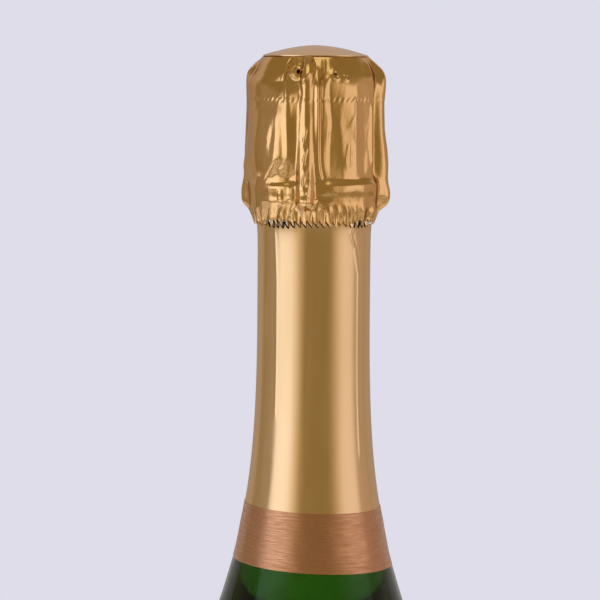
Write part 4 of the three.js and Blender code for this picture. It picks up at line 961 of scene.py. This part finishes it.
sleeve_share = 1 - (1 - np.linspace(0, 1, SLEEVE_ROWS)) ** TOP_CROWDING
sleeve_angle, sleeve_share = np.meshgrid(hood_angles, sleeve_share)
sleeve_height = SLEEVE_BOTTOM + (tear_middle - tear_gap - SLEEVE_BOTTOM) * sleeve_share
sleeve_flare = SLEEVE_FLARE + TORN_FLARE * torn_open(sleeve_angle)
above = sleeve_height - TEAR_HEIGHT - SLIT_HEIGHT / 2
on_neck = glass_radius(sleeve_height)
sleeve = on_neck + SLEEVE_GAP + sleeve_flare * np.exp(above / FLARE_REACH)
for rise, left, right, course in SLEEVE_FOLDS:
    sleeve = sleeve + fold(sleeve_angle, sleeve_height, on_neck, rise, left, right, course)
sleeve = sleeve + SLEEVE_WAVE * uneven(sleeve_angle, sleeve_height, seed=17, most_round=9, pitch=60.0)
sleeve_outer = turned(sleeve_angle, sleeve, sleeve_height)
sleeve_rows = np.unique(np.linspace(0, SLEEVE_ROWS - 1, 30).astype(int))
sleeve_lining = turned(sleeve_angle, sleeve - FOIL_GAUGE, sleeve_height)[sleeve_rows]
sleeve_grid = np.concatenate([sleeve_outer, sleeve_lining[::-1]])

neck_sleeve = make_piece("neck_sleeve", satin_foil, [sleeve_grid], shut=True, sharp=75.0)
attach(neck_sleeve, "bottle")
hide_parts("neck_foil")

# Neck label
# A bare band of copper coloured metallic paper, glued round the neck so that it bridges the sleeve's lower
# edge, and lapped at the back. It was put on slightly askew, so its right side sits lower.
LABEL_BOTTOM, LABEL_TOP, LABEL_TILT, TOP_TILT = 187.15, 202.3, 2.6, 1.9
PAPER_GAUGE, PAPER_GAP, LAP, LAP_EDGE = 0.15, 0.05, 0.15, (164, 165)
BRIDGE_RISE, BRIDGE_REACH, PAPER_WAVE, FLAT_SHARE = 0.03, 0.1, 0.02, 0.85

label_angles = np.arange(-180, 180, 1.5)
label_angle, label_share = np.meshgrid(label_angles, np.linspace(0, 1, 40))
label_level = LABEL_BOTTOM + (LABEL_TOP - LABEL_BOTTOM) * label_share
label_tilt = LABEL_TILT + (TOP_TILT - LABEL_TILT) * label_share
askew = np.tan(np.radians(label_tilt)) * glass_radius(label_level) * np.sin(np.radians(label_angle))
label_height = label_level - askew
on_sleeve = step_up(label_height, LABEL_BOTTOM, SLEEVE_BOTTOM - BRIDGE_REACH)
label = glass_radius(label_height) + PAPER_GAP + (SLEEVE_GAP - PAPER_GAP + BRIDGE_RISE) * on_sleeve
label = label + LAP * step_up(label_angle, *LAP_EDGE)
label = label + PAPER_WAVE * uneven(label_angle, label_height, seed=19, most_round=24, pitch=6.0)
label_outer = turned(label_angle, label + PAPER_GAUGE, label_height)
label_grid = np.concatenate([label_outer, turned(label_angle, label, label_height)[::-1]])
along = np.radians(np.append(label_angles, 180)) * WAIST_RADIUS * FLAT_SHARE
upward = np.concatenate([label_level[:, 0], label_level[::-1, 0], label_level[:1, 0]])
label_flat = np.stack(np.meshgrid(along, upward), axis=-1)

# Metallic paper: fine flat fibres laid along the band under a thin copper coat, so it shines in short broken
# level streaks, about 0.5 mm high and 6 mm long, with small glints.
copper_paper, tree = new_material("copper_metallic_paper")
sheet_place = add_node(tree, "UVMap", uv_map="flat")
laid = add_node(tree, "Mapping", {"Vector": sheet_place, "Scale": (1 / 6, 1 / 0.5, 1.0)})
fibres = add_node(tree, "TexNoise", {"Vector": laid, "Scale": 1.0, "Detail": 3.0, "Roughness": 0.6})
speck_place = add_node(tree, "Mapping", {"Vector": sheet_place, "Scale": (1 / 0.8, 1 / 0.35, 1.0)})
specks = add_node(tree, "TexNoise", {"Vector": speck_place, "Scale": 1.0, "Detail": 2.0})
coppers = add_node(tree, "MixRGB", [fibres, "#b2774f", "#dba682"])
broken = add_node(tree, "MapRange", [fibres, 0.35, 0.65, 0.4, 0.22])
fibred = add_node(tree, "Bump", {"Height": fibres, "Strength": 0.35, "Distance": 0.12 * MM})
specked = add_node(tree, "Bump", {"Height": specks, "Strength": 0.25, "Distance": 0.06 * MM, "Normal": fibred})
coat = {"Base Color": coppers, "Metallic": 0.93, "Roughness": broken, "Normal": specked}
add_node(tree, "OutputMaterial", {"Surface": add_node(tree, "BsdfPrincipled", coat)})

neck_label = make_piece("neck_label_band", copper_paper, [label_grid], shut=True, flat=label_flat)
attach(neck_label, "bottle")
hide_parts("neck_label")

# Body labels
# Two bare labels of uncoated cream paper, a large one in front and a smaller one behind, glued flat on
# the cylinder of the body. Each has its middle angle, its width, its bottom and its height.
BODY_LABELS = {"front_label": (0.0, 96.0, 36.0, 76.0), "back_label": (180.0, 62.0, 46.0, 56.0)}

# Uncoated laid paper: cream, matt and fibrous, with the mould's fine lines 1.2 mm apart.
cream_paper, tree = new_material("cream_laid_paper")
sheet_place = add_node(tree, "UVMap", uv_map="flat")
line_pitch = {"Vector": sheet_place, "Scale": 2 * np.pi / 20 / 1.2, "Distortion": 0.6, "Detail": 1.0}
laid_lines = add_node(tree, "TexWave", line_pitch, bands_direction="Y").outputs["Fac"]
pulp = add_node(tree, "TexNoise", {"Vector": sheet_place, "Scale": 1 / 0.9, "Detail": 5.0})
creams = add_node(tree, "MixRGB", [pulp, "#e9dfc8", "#f3ebd9"])
lined = add_node(tree, "Bump", {"Height": laid_lines, "Strength": 0.25, "Distance": 0.05 * MM})
matt = {"Base Color": creams, "Roughness": 0.75, "IOR": 1.5, "Normal": lined}
add_node(tree, "OutputMaterial", {"Surface": add_node(tree, "BsdfPrincipled", matt)})

for node, (middle, width, bottom, tall) in BODY_LABELS.items():
    across, up = np.meshgrid(np.linspace(-width / 2, width / 2, 80), np.linspace(0, tall, 48))
    paper_angle = middle + np.degrees(across / BODY_RADIUS)
    paper_grid = turned(paper_angle, BODY_RADIUS + PAPER_GAP + PAPER_GAUGE, bottom + up)
    paper_flat = np.stack([across, up], axis=-1)
    body_label = make_piece(node + "_sheet", cream_paper, [paper_grid], ring=False, flat=paper_flat)
    thickness = body_label.modifiers.new("paper", "SOLIDIFY")
    thickness.thickness = PAPER_GAUGE * MM
    thickness.offset = -1
    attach(body_label, "bottle")
    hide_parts(node)

# Studio
# A round opal table and a pale surround behind, a tall cloth light on each side that fades towards the camera,
# with a dimmer card behind it and a low reflector at its foot, a broad light high in front, and a dim warm
# room, which the metal mirrors as its dark middle.
TABLE_RADIUS, TABLE_GLOW = 820.0, 0.1
PALE, ROOM_TONE, ROOM_LEVEL = "#dedde9", "#ffe9a8", 0.3

# Opal acrylic: matt and pale, lit through from below, so what stands on it gets soft light from underneath.
opal_acrylic, tree = new_material("opal_acrylic_table")
opal = {"Base Color": "#e4e3ec", "Roughness": 0.6, "Emission Color": PALE, "Emission Strength": TABLE_GLOW}
add_node(tree, "OutputMaterial", {"Surface": add_node(tree, "BsdfPrincipled", opal)})
table_radii = np.array([[0.0], [TABLE_RADIUS]])
table = make_piece("table", opal_acrylic, [turned(np.arange(0, 360, 3.0)[::-1], table_radii, 0 * table_radii)])

# Side lights: the angles of the bright edge and of the faded edge from the camera towards the right, the share
# of the width after which the fade starts, the strength, the colour, and the low reflector's share of the
# strength. All stand on the same levels, and fade at their lower and upper edges too.
LIGHT_DISTANCE = 1300.0
SIDE_LIGHTS = {
    "left_soft_light": (-79.0, -16.0, 0.45, 1.6, "#e8efff", 0.9),
    "right_soft_light": (88.0, 28.0, 0.42, 0.98, "#fff8fa", 0.9),
    "left_card": (-79.0, -124.0, 0.6, 0.38, "#fff0d8", 0),
    "right_card": (88.0, 124.0, 0.9, 0.52, "#ffeadb", 0),
}
SIDE_LEVELS = (-60.0, 60.0, 560.0, 720.0)
LOW_REACH, LOW_HEIGHT, LOW_EDGE, LOW_FADE = (700.0, 320.0, 120.0, 90.0), 3.0, 6.0, 0.25
panel_share = np.linspace(0, 1, 24)
panel_flat = np.stack(np.meshgrid(panel_share, np.array([0.0, 1.0, 1.0, 0.0])), axis=-1)


def hang_cloth(name, grid, fade_start, strength, tone):
    """A sheet of glowing cloth that the camera doesn't see. It fades from its tone and strength to the room's:
    along the flat sheet's first axis after the start of the fade, and where the second axis falls from 1 to 0."""
    cloth, tree = new_material(name)
    parts = add_node(tree, "SeparateXYZ", [add_node(tree, "UVMap", uv_map="flat")])
    smooth = {"interpolation_type": "SMOOTHSTEP"}
    fade = add_node(tree, "MapRange", [parts.outputs["X"], fade_start, 1.0, 0.0, 1.0], **smooth)
    ends = add_node(tree, "MapRange", [parts.outputs["Y"], 0.0, 1.0, 1.0, 0.0], **smooth)
    gone = add_node(tree, "Math", [fade, ends], operation="MAXIMUM")
    level = add_node(tree, "MapRange", [gone, 0.0, 1.0, strength, ROOM_LEVEL])
    colour = add_node(tree, "MixRGB", [gone, tone, ROOM_TONE])
    glow = add_node(tree, "Emission", {"Color": colour, "Strength": level})
    add_node(tree, "OutputMaterial", {"Surface": glow})
    panel = make_piece(name, cloth, [grid], ring=False, flat=panel_flat)
    panel.visible_camera = False
    return panel


for name, (bright_edge, faded_edge, fade_start, strength, tone, low_share) in SIDE_LIGHTS.items():
    panel_angles = bright_edge + (faded_edge - bright_edge) * panel_share
    panel_angle, panel_height = np.meshgrid(panel_angles, np.array(SIDE_LEVELS))
    hang_cloth(name, turned(panel_angle, LIGHT_DISTANCE, panel_height), fade_start, strength, tone)
    if low_share:
        low_angles = bright_edge + (LOW_EDGE - bright_edge) * panel_share
        low_angle, low_reach = np.meshgrid(low_angles, np.array(LOW_REACH))
        low_grid = turned(low_angle, low_reach, LOW_HEIGHT)
        low_panel = hang_cloth(name + "_foot", low_grid, LOW_FADE, strength * low_share, tone)
        low_panel.visible_diffuse = low_panel.visible_transmission = low_panel.visible_shadow = False

TOP_LIGHT_RISE, TOP_LIGHT_HALF, TOP_LIGHT_FADE, TOP_LIGHT_LEVEL = (86.0, 40.0), 700.0, 0.6, 1.1
top_turn = np.radians(TOP_LIGHT_RISE[0] + (TOP_LIGHT_RISE[1] - TOP_LIGHT_RISE[0]) * panel_share)
top_x, top_turn = np.meshgrid(TOP_LIGHT_HALF * np.array([-1.0, -0.5, 0.5, 1.0]), top_turn, indexing="ij")
top_y, top_z = -LIGHT_DISTANCE * np.cos(top_turn), GLASS_HEIGHT + LIGHT_DISTANCE * np.sin(top_turn)
top_grid = np.stack([top_x, top_y, top_z], axis=-1)
hang_cloth("top_soft_light", top_grid, TOP_LIGHT_FADE, TOP_LIGHT_LEVEL, "#f6fae2")

# Fill lamps round the bottle bring paper, cork and table up to the level at which a colour looks as written;
# the metal and the glass mirror only the cloths.
FILL_ANGLES, FILL_SIZE, FILL_POWER = (-48.0, 48.0, 132.0, 228.0), (700.0, 500.0), 4.0
FILL_DISTANCE, FILL_HEIGHT = 1000.0, 300.0
for fill_angle in FILL_ANGLES:
    lamp = bpy.data.lights.new("fill_lamp", "AREA")
    lamp.shape = "RECTANGLE"
    lamp.size, lamp.size_y = [value * MM for value in FILL_SIZE]
    lamp.energy, lamp.color = FILL_POWER, hex_colour("#e4ecff")[:3]
    holder = bpy.data.objects.new("fill_lamp", lamp)
    holder.location = turned(fill_angle, FILL_DISTANCE, FILL_HEIGHT) * MM
    holder.rotation_euler = (np.radians(90), 0.0, np.radians(fill_angle))
    holder.visible_camera = holder.visible_glossy = holder.visible_transmission = False
    bpy.context.scene.collection.objects.link(holder)

# The surround: pale where the camera or the glass looks at it. To the metal it is about half as pale behind
# the bottle, more so higher up, and everywhere else it is the dim room.
world = bpy.data.worlds.new("studio")
bpy.context.scene.world = world
world.use_nodes = True
tree = world.node_tree
tree.nodes.clear()
compass = add_node(tree, "SeparateXYZ", [add_node(tree, "TexCoord").outputs["Generated"]])
behind = add_node(tree, "MapRange", [compass.outputs["Y"], 0.42, 0.62, 0.0, 0.45])
raised = add_node(tree, "MapRange", [compass.outputs["Z"], 0.06, 0.3, 1.0, 1.6])
backdrop = add_node(tree, "Math", [behind, raised], operation="MULTIPLY")
ray = add_node(tree, "LightPath").outputs
seen = add_node(tree, "Math", [ray["Is Camera Ray"], ray["Is Transmission Ray"]], operation="MAXIMUM")
pale_share = add_node(tree, "Math", [seen, backdrop], operation="MAXIMUM")
room = add_node(tree, "Background", {"Color": ROOM_TONE, "Strength": ROOM_LEVEL})
surround = add_node(tree, "Background", {"Color": PALE, "Strength": 1.0})
add_node(tree, "OutputWorld", {"Surface": add_node(tree, "MixShader", [pale_share, room, surround])})

# Camera
# A long lens at the height of the hood's seam, 0.7 m in front of the bottle and a little to its left. It is
# turned a little down and rolled by a hair.
CAMERA_PLACE = (-4.1, -700.0, 320.0)
CAMERA_PITCH, CAMERA_ROLL, FIELD_OF_VIEW = 5.22, -0.45, 12.8

lens = bpy.data.cameras.new("camera")
lens.angle = np.radians(FIELD_OF_VIEW)
lens.clip_start, lens.clip_end = 0.01, 50.0
camera = bpy.data.objects.new("camera", lens)
camera.location = [value * MM for value in CAMERA_PLACE]
camera.rotation_euler = (np.radians(90 - CAMERA_PITCH), np.radians(CAMERA_ROLL), 0.0)
bpy.context.scene.collection.objects.link(camera)
bpy.context.scene.camera = camera
bpy.context.scene.view_settings.view_transform = "Standard"
